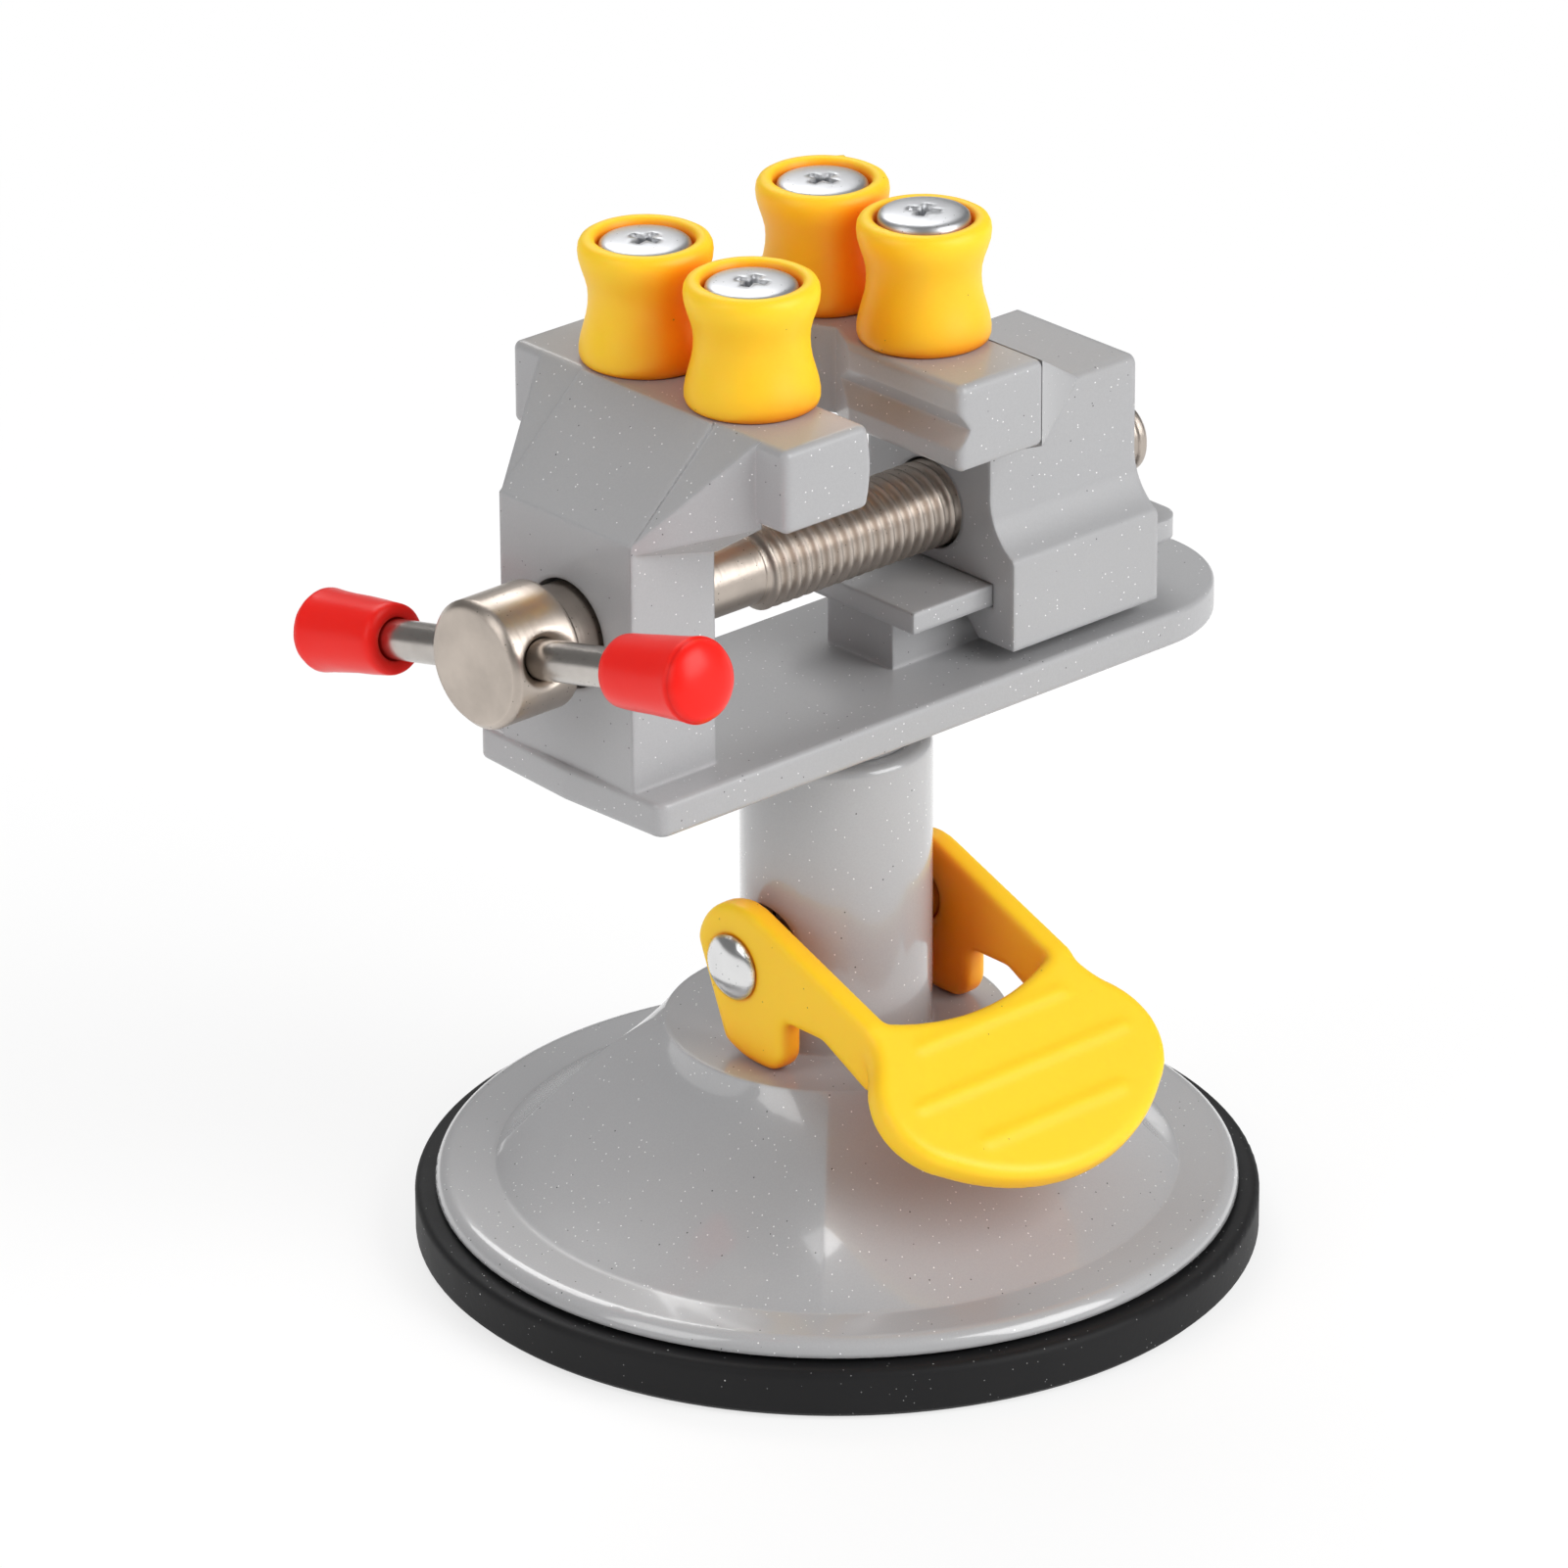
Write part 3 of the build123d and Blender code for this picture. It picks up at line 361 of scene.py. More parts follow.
def make_turning():
    """Fine rings left by turning, about a line along X at the screw's height"""
    group, start, end = new_group(
        "Turning",
        [("Along", "NodeSocketFloat", 2600.0), ("Across", "NodeSocketFloat", 60.0)],
        [("Height", "NodeSocketFloat")],
    )
    split = group.nodes.new("ShaderNodeSeparateXYZ")
    group.links.new(object_place(group), split.inputs[0])
    join = group.nodes.new("ShaderNodeCombineXYZ")
    group.links.new(math_node(group, "MULTIPLY", split.outputs[0], start.outputs["Along"]), join.inputs[0])
    group.links.new(math_node(group, "MULTIPLY", split.outputs[1], start.outputs["Across"]), join.inputs[1])
    group.links.new(math_node(group, "MULTIPLY", split.outputs[2], start.outputs["Across"]), join.inputs[2])
    value = noise(group, join.outputs[0], 1.0, detail=3.0, roughness=0.6)
    group.links.new(value, end.inputs["Height"])
    return group


shade_contrast = 1.6    # how soon little light counts as full painted shade


def make_painted_shade():
    """Mask of the painted shade: the places that little light reaches, from the room in front of the surface
    """
    group, start, end = new_group(
        "PaintedShade", [("Reach", "NodeSocketFloat", 0.016)], [("Mask", "NodeSocketFloat")]
    )
    room = group.nodes.new("ShaderNodeAmbientOcclusion")
    room.samples = 8
    group.links.new(start.outputs["Reach"], room.inputs["Distance"])
    closed = math_node(group, "SUBTRACT", 1.0, room.outputs["AO"])
    group.links.new(math_node(group, "MULTIPLY", closed, shade_contrast, clamp=True), end.inputs["Mask"])
    return group


def shaded(base, share):
    """A colour made darker or paler"""
    return tuple(min(1.0, share * c) for c in base)


def use_group(tree, group, **values):
    """Places a group in a material, with its own values"""
    node = tree.nodes.new("ShaderNodeGroup")
    node.node_tree = group
    for label, value in values.items():
        node.inputs[label].default_value = value
    return node


def new_material(name, roughness, **constants):
    """A material with a Principled shader, its plain numbers set on the shader's own sockets"""
    material = bpy.data.materials.new(name)
    material.use_nodes = True
    shader = material.node_tree.nodes["Principled BSDF"]
    shader.inputs["Roughness"].default_value = roughness
    for label, value in constants.items():
        shader.inputs[label.replace("_", " ")].default_value = value
    return material, material.node_tree, shader


def bump(tree, height, strength, distance, normal=None):
    """A Bump node's normal"""
    node = tree.nodes.new("ShaderNodeBump")
    node.inputs["Strength"].default_value = strength
    node.inputs["Distance"].default_value = distance
    tree.links.new(height, node.inputs["Height"])
    if normal is not None:
        tree.links.new(normal, node.inputs["Normal"])
    return node.outputs[0]


def scaled(tree, value, low=0.0, high=1.0):
    """A value from -1 to 1 brought between two numbers"""
    node = tree.nodes.new("ShaderNodeMapRange")
    node.inputs["From Min"].default_value = -1
    node.inputs["From Max"].default_value = 1
    node.inputs["To Min"].default_value = low
    node.inputs["To Max"].default_value = high
    tree.links.new(value, node.inputs["Value"])
    return node.outputs[0]


skin_depth = 0.0001      # a moulded or painted skin's height
turning_depth = 0.00006  # a turning line's


class GlossyPaint:
    """The foot's paint: thick and glossy, with a slow orange-peel skin"""

    roughness = (0.2, 0.28)      # lowest and highest
    coat = (0.8, 1.0)
    coat_roughness = 0.08
    skin_scale = 420.0
    skin_strength = 0.07


class SatinPaint:
    """The bed's and the jaw's paint: thinner, duller and with a finer skin"""

    roughness = (0.38, 0.48)
    coat = (0.4, 0.6)
    coat_roughness = 0.18
    skin_scale = 1500.0
    skin_strength = 0.25


def casting_paint(name, groups, base, paint):
    """Silver-grey paint on a casting: slow uneven tone, fine grain, a few specks, rounded edges with painted
    highlights
    """
    colours = bpy.context.scene.vise_colours
    material, tree, shader = new_material(
        name, 0.4, Coat_Roughness=paint.coat_roughness, Specular_IOR_Level=0.5
    )
    cloud = use_group(tree, groups["Cloud"], Scale=45.0).outputs["Shade"]
    shade = blend_colour(tree, scaled(tree, cloud), shaded(base, 0.94), shaded(base, 1.05))
    grain = use_group(tree, groups["Cloud"], Scale=5200.0).outputs["Shade"]
    grained = blend_colour(tree, scaled(tree, grain, 0.0, 0.4), shade, shaded(base, 0.62))
    edges = use_group(tree, groups["Edges"], Wear=0.7)
    # painted highlight: edges drawn paler, 1.5 times the paint's colour
    edge_highlight = blend_colour(tree, edges.outputs["Mask"], grained, shaded(base, 1.5))
    bright = use_group(tree, groups["Flecks"], Scale=1200.0, Size=0.1, Share=0.6)
    flecked = blend_colour(tree, bright.outputs["Mask"], edge_highlight, tuple(colours.fleck))
    dark = use_group(tree, groups["Flecks"], Scale=700.0, Size=0.065, Share=0.5)
    flecked = blend_colour(tree, dark.outputs["Mask"], flecked, shaded(base, 0.2))
    tree.links.new(flecked, shader.inputs["Base Color"])
    tree.links.new(scaled(tree, cloud, *paint.roughness), shader.inputs["Roughness"])
    tree.links.new(scaled(tree, cloud, *paint.coat), shader.inputs["Coat Weight"])
    skin = use_group(tree, groups["Grain"], Scale=paint.skin_scale).outputs["Height"]
    normal = bump(tree, skin, paint.skin_strength, skin_depth, edges.outputs["Normal"])
    tree.links.new(normal, shader.inputs["Normal"])
    return material


def moulded_plastic(name, groups, main, shade_colour, roughness, shine=0.4):
    """Moulded plastic: a deeper colour painted as shade where light hardly reaches, paler edges painted as
    highlights, and a fine skin
    """
    material, tree, shader = new_material(
        name,
        roughness,
        Subsurface_Weight=0.35,
        Subsurface_Scale=0.004,
        Subsurface_Radius=(1.0, 0.35, 0.05),
        Specular_IOR_Level=shine,
    )
    cloud = use_group(tree, groups["Cloud"], Scale=70.0).outputs["Shade"]
    # painted shade: the colour moves towards the shade colour where little light reaches, with a little
    # random tone added
    painted_shade = use_group(tree, groups["PaintedShade"]).outputs["Mask"]
    shade_and_tone = math_node(tree, "ADD", painted_shade, scaled(tree, cloud, -0.06, 0.06), clamp=True)
    shade = blend_colour(tree, shade_and_tone, main, shade_colour)
    edges = use_group(tree, groups["Edges"], Wear=0.25)
    # painted highlight: edges drawn paler than the plastic
    lit_edge_colour = tuple(min(1.0, 1.1 * c + 0.02) for c in main)
    edge_highlight = blend_colour(tree, edges.outputs["Mask"], shade, lit_edge_colour)
    dirt = use_group(tree, groups["Flecks"], Scale=520.0, Size=0.05, Share=0.3)
    dirty = blend_colour(tree, dirt.outputs["Mask"], edge_highlight, shaded(main, 0.4))
    tree.links.new(dirty, shader.inputs["Base Color"])
    tree.links.new(scaled(tree, cloud, roughness - 0.05, roughness + 0.07), shader.inputs["Roughness"])
    skin = use_group(tree, groups["Grain"], Scale=900.0).outputs["Height"]
    tree.links.new(bump(tree, skin, 0.12, skin_depth, edges.outputs["Normal"]), shader.inputs["Normal"])
    return material


def black_rubber(name, groups):
    """Black rubber with pale dust, faint scuffs and a matt skin"""
    colours = bpy.context.scene.vise_colours
    base = tuple(colours.rubber)
    material, tree, shader = new_material(name, 0.6, Specular_IOR_Level=0.2)
    cloud = use_group(tree, groups["Cloud"], Scale=90.0).outputs["Shade"]
    shade = blend_colour(tree, scaled(tree, cloud), base, shaded(base, 1.9))
    dust = use_group(tree, groups["Flecks"], Scale=1300.0, Size=0.09, Share=0.4)
    dusty = blend_colour(tree, dust.outputs["Mask"], shade, tuple(colours.dust))
    specks = use_group(tree, groups["Flecks"], Scale=600.0, Size=0.05, Share=0.4)
    dusty = blend_colour(tree, specks.outputs["Mask"], dusty, tuple(colours.speck))
    tree.links.new(dusty, shader.inputs["Base Color"])
    tree.links.new(scaled(tree, cloud, 0.45, 0.65), shader.inputs["Roughness"])
    skin = use_group(tree, groups["Grain"], Scale=1100.0).outputs["Height"]
    edges = use_group(tree, groups["Edges"], Wear=0.3)
    tree.links.new(bump(tree, skin, 0.2, skin_depth, edges.outputs["Normal"]), shader.inputs["Normal"])
    return material


def bare_steel(name, groups, main, dark, roughness, lines):
    """Bare or plated steel: turning lines, stained patches and edges brightened as painted highlights"""
    material, tree, shader = new_material(name, roughness, Metallic=1.0)
    cloud = use_group(tree, groups["Cloud"], Scale=160.0).outputs["Shade"]
    shade = blend_colour(tree, scaled(tree, cloud), main, dark)
    pits = use_group(tree, groups["Flecks"], Scale=1500.0, Size=0.12, Share=0.5)
    pitted = blend_colour(tree, pits.outputs["Mask"], shade, shaded(dark, 0.5))
    edges = use_group(tree, groups["Edges"], Wear=0.9)
    # painted highlight: edges drawn 1.25 times brighter than the steel
    edge_highlight = blend_colour(tree, edges.outputs["Mask"], pitted, shaded(main, 1.25))
    tree.links.new(edge_highlight, shader.inputs["Base Color"])
    tree.links.new(scaled(tree, cloud, roughness - 0.06, roughness + 0.12), shader.inputs["Roughness"])
    rings = use_group(tree, groups["Turning"]).outputs["Height"]
    tree.links.new(bump(tree, rings, lines, turning_depth, edges.outputs["Normal"]), shader.inputs["Normal"])
    return material


def make_materials():
    """Every finish of the vise, by name"""
    colours = bpy.context.scene.vise_colours
    groups = {
        "Flecks": make_flecks(),
        "Edges": make_edges(),
        "Cloud": make_cloud(),
        "Grain": make_grain(),
        "Turning": make_turning(),
        "PaintedShade": make_painted_shade(),
    }
    yellow, orange = tuple(colours.yellow), tuple(colours.orange)
    red, steel, screw = tuple(colours.red), tuple(colours.steel), tuple(colours.screw)
    zinc, chrome = tuple(colours.zinc), tuple(colours.chrome)
    spring, cast = tuple(colours.spring), tuple(colours.cast)
    finishes = {
        "foot_paint": casting_paint("foot_paint", groups, tuple(colours.foot_silver), GlossyPaint),
        "vise_paint": casting_paint("vise_paint", groups, tuple(colours.vise_silver), SatinPaint),
        # each plastic's second colour is painted shade: orange for the yellow, a darker red for the caps
        "lever_yellow": moulded_plastic("lever_yellow", groups, yellow, orange, 0.42),
        "peg_yellow": moulded_plastic("peg_yellow", groups, yellow, orange, 0.45),
        "cap_red": moulded_plastic("cap_red", groups, red, shaded(red, 0.8), 0.32, shine=0.25),
        "cup_rubber": black_rubber("cup_rubber", groups),
    }
    # main colour, share of it left where stained, roughness, strength of the turning lines
    metals = {
        "screw_steel": (screw, 0.55, 0.3, 0.3),
        "bar_steel": (steel, 0.6, 0.2, 0.2),
        "pin_chrome": (chrome, 0.825, 0.1, 0.02),
        "zinc_steel": (zinc, 0.7, 0.34, 0.06),
        "spring_steel": (spring, 0.5, 0.35, 0.1),
        "plunger_metal": (cast, 0.72, 0.45, 0.1),
    }
    for name, (main, stained, roughness, lines) in metals.items():
        finishes[name] = bare_steel(name, groups, main, shaded(main, stained), roughness, lines)
    return finishes


# every finish by its name, filled by main()
materials = {}


def dress(piece, finish):
    """Gives a piece one finish all over, by the finish's name"""
    piece.data.materials.clear()
    piece.data.materials.append(materials[finish])


def dress_node(node, finish):
    """Gives a CAD node one finish"""
    piece = nodes[node]
    for place in range(len(piece.material_slots)):
        piece.material_slots[place].material = materials[finish]


# ---------------------------------------------------------------- pieces
class VISE_OT_castings(bpy.types.Operator):
    """Paints the foot, the bed and the moving jaw"""

    bl_idname = "vise.castings"
    bl_label = "Castings"

    def execute(self, context):
        dress_node("base_housing", "foot_paint")
        dress_node("vise_bed", "vise_paint")
        dress_node("moving_jaw", "vise_paint")
        return {"FINISHED"}


class VISE_OT_cup(bpy.types.Operator):
    """Finishes the rubber cup"""

    bl_idname = "vise.cup"
    bl_label = "Rubber cup"

    def execute(self, context):
        dress_node("suction_cup", "cup_rubber")
        return {"FINISHED"}


class VISE_OT_lever(bpy.types.Operator):
    """Makes the lever as one soft-edged moulding"""

    bl_idname = "vise.lever"
    bl_label = "Lever"

    def execute(self, context):
        sizes = context.scene.vise_sizes
        piece = softened_copy("lever", "lever_moulding", sizes.plastic_round, sizes.plastic_passes)
        dress(piece, "lever_yellow")
        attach(piece, "lever")
        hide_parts("lever")
        return {"FINISHED"}


class VISE_OT_steel(bpy.types.Operator):
    """Finishes the steel pieces"""

    bl_idname = "vise.steel"
    bl_label = "Steel pieces"

    def execute(self, context):
        dress_node("lead_screw", "screw_steel")
        dress_node("tommy_bar", "bar_steel")
        dress_node("lever_pin", "pin_chrome")
        dress_node("plunger", "plunger_metal")
        for node in ("pin_clip", "screw_clip"):
            dress_node(node, "spring_steel")
        for node in ("cup_stud", "bed_screw", "bed_washer"):
            dress_node(node, "zinc_steel")
        return {"FINISHED"}


class PegFacts:
    """The pegs' shape in mm: half a cross-section as (radius, height) up from the foot, and the nibs"""

    hole = 2.6       # radius of the hole for the screw
    seat = 5.32      # radius of the screw head's seat
    outside = (
        (5.36, 13.3),
        (5.55, 13.65),
        (5.95, 13.8),
        (6.5, 13.76),
        (6.95, 13.5),
        (7.22, 13.0),
        (7.3, 12.3),
        (7.2, 11.4),
        (6.92, 10.4),
        (6.55, 9.3),
        (6.28, 8.2),
        (6.2, 7.1),
        (6.26, 6.0),
        (6.46, 4.8),
        (6.8, 3.6),
        (7.1, 2.5),
        (7.27, 1.5),
        (7.27, 0.7),
        (7.1, 0.18),
        (6.8, 0.0),
    )
    widest = 7.3
    height = 13.8
    # how far the screw head's seat lies below the rim
    seat_depth = {"fixed_near": 3.2, "fixed_far": 3.2, "moving_near": 2.3, "moving_far": 3.2}
    # nibs left by moulding: angle about the peg in degrees, height in mm
    nibs = {
        "fixed_near": ((-70, 0.5),),
        "fixed_far": (),
        "moving_near": ((-84, 1.3),),
        "moving_far": ((-150, 13.5),),
    }


def body_of(corner):
    """The body that a corner's peg and screw move with"""
    return "jaw" if corner.startswith("moving") else "head"


class VISE_OT_pegs(bpy.types.Operator):
    """Makes the four waisted pegs with rounded rims, a seat and moulding nibs"""

    bl_idname = "vise.pegs"
    bl_label = "Pegs"

    def execute(self, context):
        sizes = context.scene.vise_sizes
        for corner, nibs in PegFacts.nibs.items():
            node = f"{corner}_peg"
            low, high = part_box(node)
            foot = Vector(((low[0] + high[0]) / 2, (low[1] + high[1]) / 2, low[2]))
            floor = PegFacts.height - PegFacts.seat_depth[corner]
            inside = ((PegFacts.hole, 0.0), (PegFacts.hole, floor), (PegFacts.seat, floor))
            outline = inside + PegFacts.outside + inside[:1]
            peg = turned(f"{corner}_moulding", outline, sizes.turned_sides, closed=True)
            make_uneven(peg, sizes.uneven, sizes.peg_waves, corner)
            for angle, height in nibs:
                turn = math.radians(angle)
                outward = Vector((math.cos(turn), math.sin(turn), 0))
                place = (PegFacts.widest * outward + Vector((0, 0, height))) * MM
                raise_nib(peg, place, outward, sizes.nib_height, sizes.nib_reach * sizes.nib_height)
            stand(peg, foot)
            dress(peg, "peg_yellow")
            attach(peg, body_of(corner))
            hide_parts(node)
        return {"FINISHED"}


class ScrewFacts:
    """The pegs' screws in mm: half the head's cross-section up from its seat, the shank and the recess"""

    profile = (
        (5.0, 0.0),
        (5.0, 2.05),
        (4.9, 2.4),
        (4.65, 2.62),
        (4.2, 2.74),
        (3.0, 2.84),
        (1.5, 2.89),
        (0.1, 2.9),
    )
    shank_radius = 2.5
    shank_point = 0.6              # height of the bevel at the shank's end
    point_radius = 2.0             # radius at the very end
    wing_length = 5.0
    wing_width = 1.2
    wing_narrowing = (0.45, 0.7)   # shares of length and width left at the recess's floor
    recess_depth = 2.0
    smooth_below = 35              # edges flatter than this many degrees look smooth
    # how far each cross is turned, in degrees
    turns = {"fixed_near": 24, "fixed_far": 12, "moving_near": 31, "moving_far": 8}


class VISE_OT_screws(bpy.types.Operator):
    """Makes the pegs' flat pan-head screws with their cross recess"""

    bl_idname = "vise.screws"
    bl_label = "Peg screws"

    def execute(self, context):
        sizes = context.scene.vise_sizes
        for corner, turn in ScrewFacts.turns.items():
            node = f"{corner}_screw"
            low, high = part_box(node)
            seat = high[2] / MM - ScrewFacts.profile[-1][1]
            end = low[2] / MM
            shank = (
                (ScrewFacts.point_radius, end - seat),
                (ScrewFacts.shank_radius, end - seat + ScrewFacts.shank_point),
                (ScrewFacts.shank_radius, 0.0),
            )
            screw = turned(f"{corner}_fastener", shank + ScrewFacts.profile, sizes.turned_sides)
            self.cut_recess(screw, turn)
            stand(screw, Vector(((low[0] + high[0]) / 2, (low[1] + high[1]) / 2, seat * MM)))
            dress(screw, "zinc_steel")
            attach(screw, body_of(corner))
            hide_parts(node)
        return {"FINISHED"}

    def cut_recess(self, screw, turn):
        """Cuts two crossed wings that narrow downwards into the head"""
        top = ScrewFacts.profile[-1][1] * MM
        depth = ScrewFacts.recess_depth * MM
        wings = []
        for quarter in (0, 90):
            clear_selection()
            bpy.ops.mesh.primitive_cube_add(size=1)
            wing = bpy.context.object
            bpy.ops.object.mode_set(mode="EDIT")
            bpy.ops.mesh.select_all(action="SELECT")
            bpy.ops.transform.resize(
                value=(ScrewFacts.wing_length * MM, ScrewFacts.wing_width * MM, 2 * depth),
                center_override=(0, 0, 0),
            )
            bpy.ops.mesh.select_all(action="DESELECT")
            bpy.ops.object.mode_set(mode="OBJECT")
            for corner in wing.data.vertices:
                corner.select = corner.co.z < 0
            bpy.ops.object.mode_set(mode="EDIT")
            bpy.ops.transform.resize(value=(*ScrewFacts.wing_narrowing, 1), center_override=(0, 0, 0))
            bpy.ops.object.mode_set(mode="OBJECT")
            around = Matrix.Rotation(math.radians(turn + quarter), 4, "Z")
            wing.data.transform(Matrix.Translation((0, 0, top)) @ around)
            wings.append(wing)
        for wing in wings:
            pick(screw)
            cut = screw.modifiers.new("recess", "BOOLEAN")
            cut.operation = "DIFFERENCE"
            cut.solver = "EXACT"
            cut.object = wing
            bpy.ops.object.modifier_apply(modifier=cut.name)
            bpy.data.objects.remove(wing)
        pick(screw)
        bpy.ops.object.shade_smooth_by_angle(angle=math.radians(ScrewFacts.smooth_below))


class CapFacts:
    """The caps' shape in mm: half a cross-section from inside the mouth outwards, and the bar's axis"""

    profile = (
        (2.32, 12.0),
        (2.32, 0.05),
        (3.3, 0.0),
        (3.75, 0.1),
        (3.98, 0.45),
        (4.05, 1.2),
        (4.16, 3.2),
        (4.28, 5.6),
        (4.42, 8.4),
        (4.56, 10.6),
        (4.66, 11.4),
        (4.7, 11.7),
        (4.62, 11.9),
        (4.4, 12.0),
        (4.46, 12.15),
        (4.36, 12.45),
        (3.95, 12.85),
        (3.2, 13.25),
        (2.2, 13.54),
        (1.0, 13.67),
        (0.1, 13.7),
    )
    centre = Vector((-46.7, 0, 82.65))      # where the bar's axis crosses the screw's
    tilt = math.radians(12.7)
    mouths = {"near_cap": 19.2, "far_cap": -18.6}    # along the bar from there


class VISE_OT_caps(bpy.types.Operator):
    """Makes the two vinyl caps: a sleeve that widens to a seam ring, and a flat dome"""

    bl_idname = "vise.caps"
    bl_label = "Caps"

    def execute(self, context):
        sizes = context.scene.vise_sizes
        along = Vector((0, -math.cos(CapFacts.tilt), math.sin(CapFacts.tilt)))
        for node, mouth in CapFacts.mouths.items():
            cap = turned(f"{node}_moulding", CapFacts.profile, sizes.turned_sides)
            make_uneven(cap, 2 * sizes.uneven, sizes.cap_waves, node)
            way = 1 if mouth > 0 else -1
            stand(cap, (CapFacts.centre + mouth * along) * MM, way * along)
            dress(cap, "cap_red")
            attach(cap, "bar")
            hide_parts(node)
        return {"FINISHED"}


# ---------------------------------------------------------------- stage
class StageFacts:
    """Where the photograph was taken from, in the frame's metres and degrees, the floor and the light"""

    target = Vector((0, 0, 0.065))
    heading = 47.607
    down = 23.924
    roll = -0.157
    distance = 1.020
    picture = 1601                 # width and height of the picture in pixels
    focal_pixels = 9573.5
    shift_pixels = (52.9, -100.6)  # where the target falls, right and down from the middle
    sensor = 36.0
    even_light = 0.46              # the surroundings' light on matt surfaces
    mirrored_light = 0.22          # and in reflections
    floor_width = 6.0
    floor_drop = 0.0002            # the floor lies this far under the rubber
    fade = (0.05, 0.35)            # from the vise, where the floor starts and ends turning white
    least_white = 0.72
    # soft boxes: place, width and height, and power in watts
    boxes = {
        "right_box": ((0.45, -1.15, 0.80), (0.9, 1.1), 17.0),
        "left_box": ((-1.10, 0.10, 0.70), (0.6, 0.9), 4.5),
        "back_box": ((0.45, 0.85, 1.00), (0.8, 0.6), 6.0),
    }


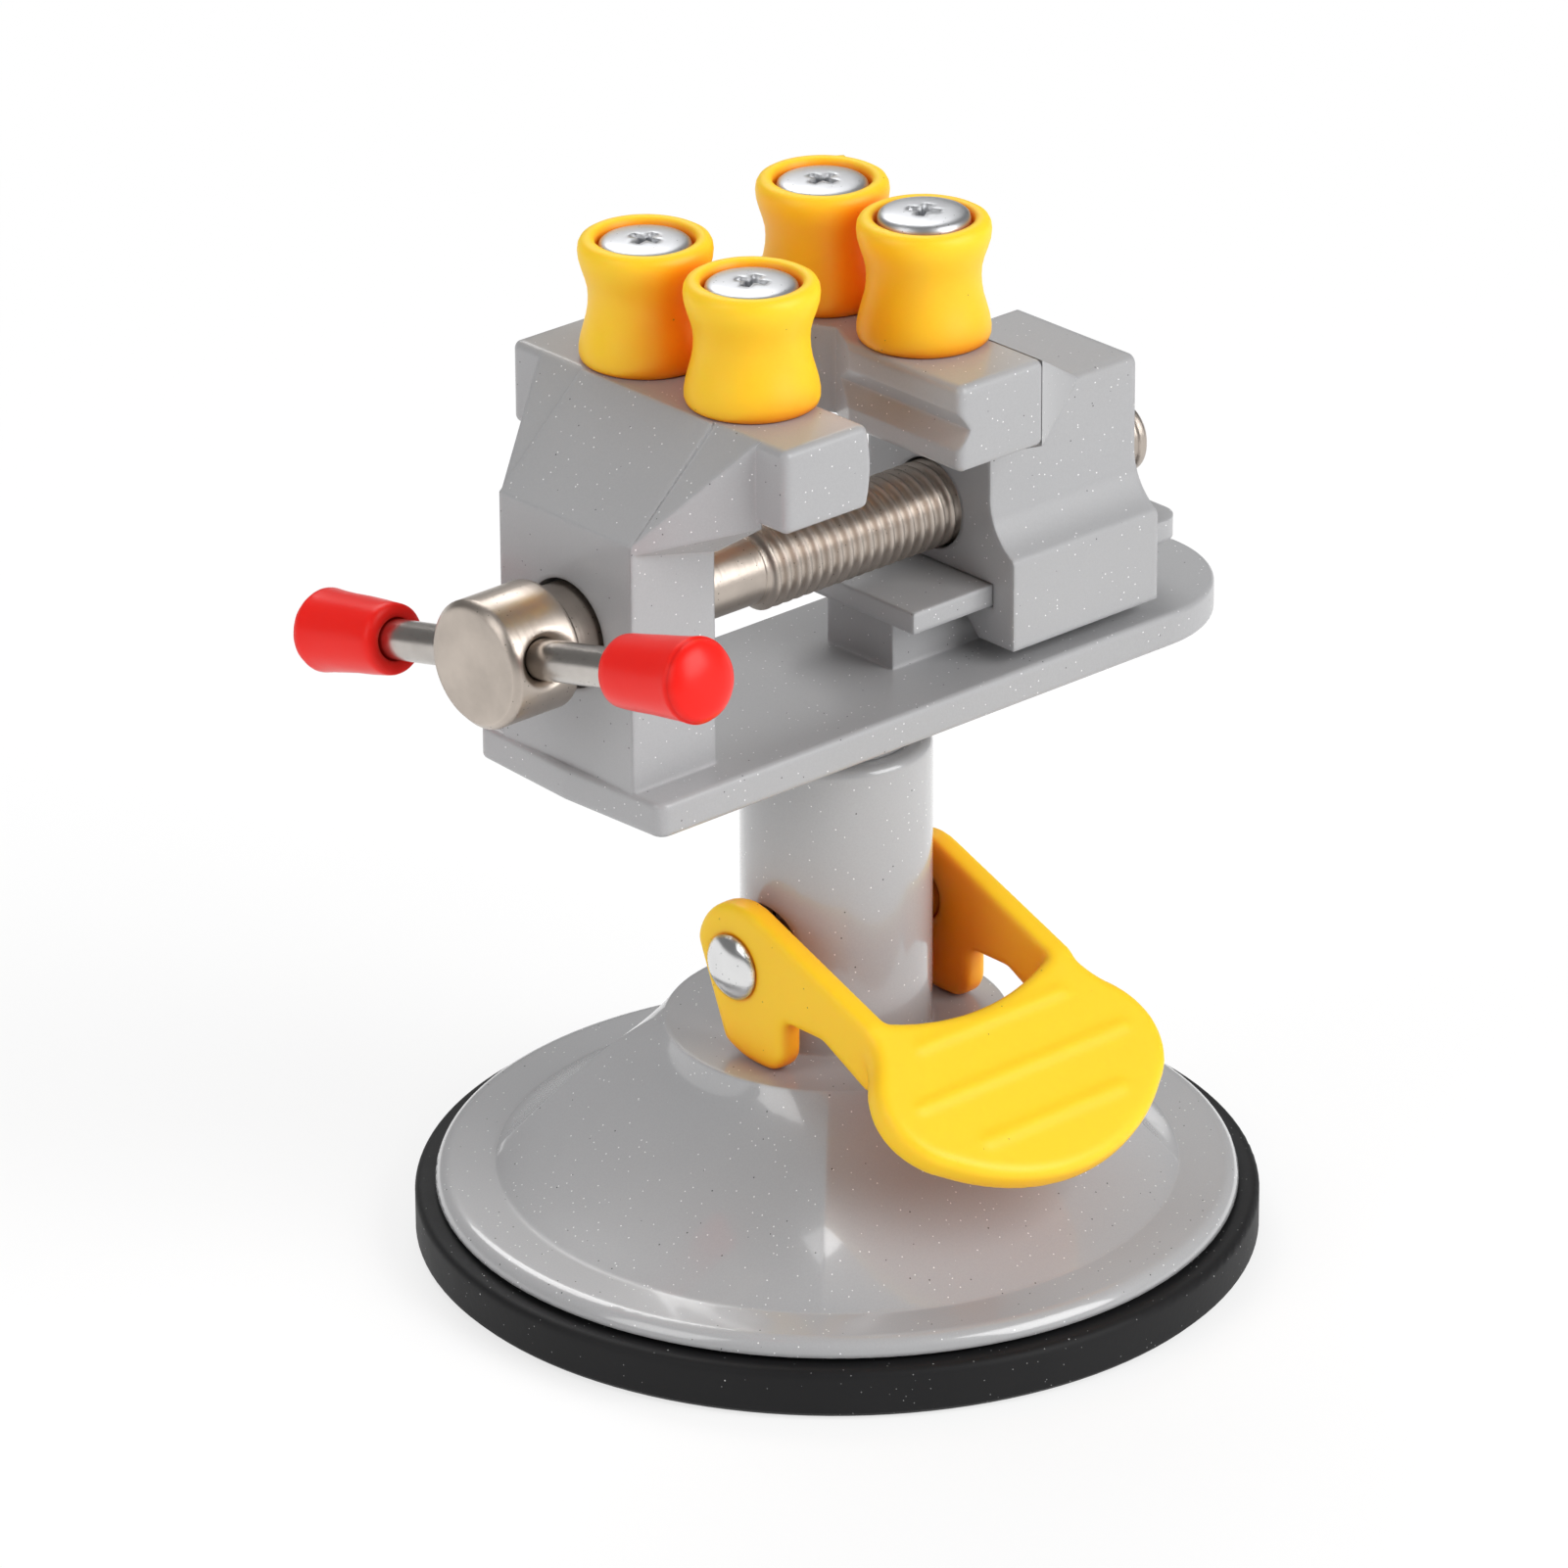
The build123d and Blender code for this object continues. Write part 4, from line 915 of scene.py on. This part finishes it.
class VISE_OT_stage(bpy.types.Operator):
    """Adds the floor, the lamps, the pale surroundings and the camera"""

    bl_idname = "vise.stage"
    bl_label = "Stage"

    def execute(self, context):
        self.add_camera(context)
        self.add_floor(context)
        self.add_world(context)
        self.add_lamps()
        context.scene.view_settings.view_transform = "Standard"
        return {"FINISHED"}

    def add_camera(self, context):
        """Camera at the photograph's place, turned and shifted as it was"""
        heading, down = math.radians(StageFacts.heading), math.radians(StageFacts.down)
        ahead = Vector(
            (math.cos(heading) * math.cos(down), math.sin(heading) * math.cos(down), -math.sin(down))
        )
        right = ahead.cross(Vector((0, 0, 1))).normalized()
        up = right.cross(ahead)
        roll = math.radians(StageFacts.roll)
        right, up = (
            math.cos(roll) * right + math.sin(roll) * up,
            math.cos(roll) * up - math.sin(roll) * right,
        )
        turn = Matrix((right, up, -ahead)).transposed().to_4x4()
        place = StageFacts.target - StageFacts.distance * ahead
        bpy.ops.object.camera_add()
        camera = context.object
        camera.name = "photo_camera"
        camera.matrix_world = Matrix.Translation(place) @ turn
        camera.data.sensor_width = StageFacts.sensor
        camera.data.lens = StageFacts.focal_pixels / StageFacts.picture * StageFacts.sensor
        camera.data.shift_x = -StageFacts.shift_pixels[0] / StageFacts.picture
        camera.data.shift_y = StageFacts.shift_pixels[1] / StageFacts.picture
        camera.data.clip_start = 0.01
        context.scene.camera = camera

    def add_floor(self, context):
        """A wide pale floor that fades to white away from the vise and keeps its shadow"""
        clear_selection()
        bpy.ops.mesh.primitive_plane_add(
            size=StageFacts.floor_width, location=(0, 0, -StageFacts.floor_drop)
        )
        floor = context.object
        floor.name = "floor"
        material = bpy.data.materials.new("pale_floor")
        material.use_nodes = True
        tree = material.node_tree
        tree.nodes.clear()
        out = tree.nodes.new("ShaderNodeOutputMaterial")
        matt = tree.nodes.new("ShaderNodeBsdfDiffuse")
        matt.inputs["Color"].default_value = (*context.scene.vise_colours.floor, 1)
        glow = tree.nodes.new("ShaderNodeEmission")
        glow.inputs["Strength"].default_value = 1.0
        mix = tree.nodes.new("ShaderNodeMixShader")
        path = tree.nodes.new("ShaderNodeLightPath")
        away = tree.nodes.new("ShaderNodeVectorMath")
        away.operation = "LENGTH"
        tree.links.new(object_place(tree), away.inputs[0])
        fade = tree.nodes.new("ShaderNodeMapRange")
        fade.interpolation_type = "SMOOTHSTEP"
        fade.inputs["From Min"].default_value = StageFacts.fade[0]
        fade.inputs["From Max"].default_value = StageFacts.fade[1]
        fade.inputs["To Min"].default_value = StageFacts.least_white
        fade.inputs["To Max"].default_value = 1.0
        tree.links.new(away.outputs["Value"], fade.inputs["Value"])
        seen = math_node(tree, "MAXIMUM", path.outputs["Is Camera Ray"], path.outputs["Is Glossy Ray"])
        tree.links.new(math_node(tree, "MULTIPLY", seen, fade.outputs[0]), mix.inputs[0])
        tree.links.new(matt.outputs[0], mix.inputs[1])
        tree.links.new(glow.outputs[0], mix.inputs[2])
        tree.links.new(mix.outputs[0], out.inputs["Surface"])
        floor.data.materials.append(material)

    def add_world(self, context):
        """White to the camera, a dimmer even light on the vise"""
        world = bpy.data.worlds.new("pale_world")
        context.scene.world = world
        world.use_nodes = True
        tree = world.node_tree
        sky = tree.nodes["Background"]
        path = tree.nodes.new("ShaderNodeLightPath")
        soft = tree.nodes.new("ShaderNodeMapRange")
        soft.inputs["To Min"].default_value = StageFacts.even_light
        soft.inputs["To Max"].default_value = StageFacts.mirrored_light
        tree.links.new(path.outputs["Is Glossy Ray"], soft.inputs["Value"])
        strength = tree.nodes.new("ShaderNodeMapRange")
        strength.inputs["To Max"].default_value = 1.0
        tree.links.new(path.outputs["Is Camera Ray"], strength.inputs["Value"])
        tree.links.new(soft.outputs[0], strength.inputs["To Min"])
        sky.inputs["Color"].default_value = (1, 1, 1, 1)
        tree.links.new(strength.outputs[0], sky.inputs["Strength"])

    def add_lamps(self):
        """Three soft boxes aimed at the vise: a strong one to the right, weaker ones left and behind"""
        for name, (place, size, power) in StageFacts.boxes.items():
            clear_selection()
            bpy.ops.object.light_add(type="AREA", location=place)
            lamp = bpy.context.object
            lamp.name = name
            lamp.data.shape = "RECTANGLE"
            lamp.data.size, lamp.data.size_y = size
            lamp.data.energy = power
            aim = StageFacts.target - Vector(place)
            lamp.rotation_euler = aim.to_track_quat("-Z", "Y").to_euler()


class VISE_PT_panel(bpy.types.Panel):
    """Lists what makes the vise"""

    bl_label = "Vise"
    bl_idname = "VISE_PT_panel"
    bl_space_type = "VIEW_3D"
    bl_region_type = "UI"
    bl_category = "Vise"

    def draw(self, context):
        for step in steps:
            self.layout.operator(step.bl_idname)
        for group in (context.scene.vise_colours, context.scene.vise_sizes):
            for label in group.__annotations__:
                self.layout.prop(group, label)


steps = (
    VISE_OT_stage,
    VISE_OT_castings,
    VISE_OT_cup,
    VISE_OT_lever,
    VISE_OT_steel,
    VISE_OT_pegs,
    VISE_OT_screws,
    VISE_OT_caps,
)
classes = (ViseColours, ViseSizes, *steps, VISE_PT_panel)


def register():
    """Adds the classes and the scene's settings"""
    for item in classes:
        bpy.utils.register_class(item)
    bpy.types.Scene.vise_colours = PointerProperty(type=ViseColours)
    bpy.types.Scene.vise_sizes = PointerProperty(type=ViseSizes)


def unregister():
    """Takes them away again"""
    del bpy.types.Scene.vise_sizes
    del bpy.types.Scene.vise_colours
    for item in reversed(classes):
        bpy.utils.unregister_class(item)


def main():
    """Makes the finishes, the stage and every piece"""
    register()
    materials.update(make_materials())
    for step in steps:
        family, action = step.bl_idname.split(".")
        getattr(getattr(bpy.ops, family), action)()
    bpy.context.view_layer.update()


if __name__ == "__main__":
    main()
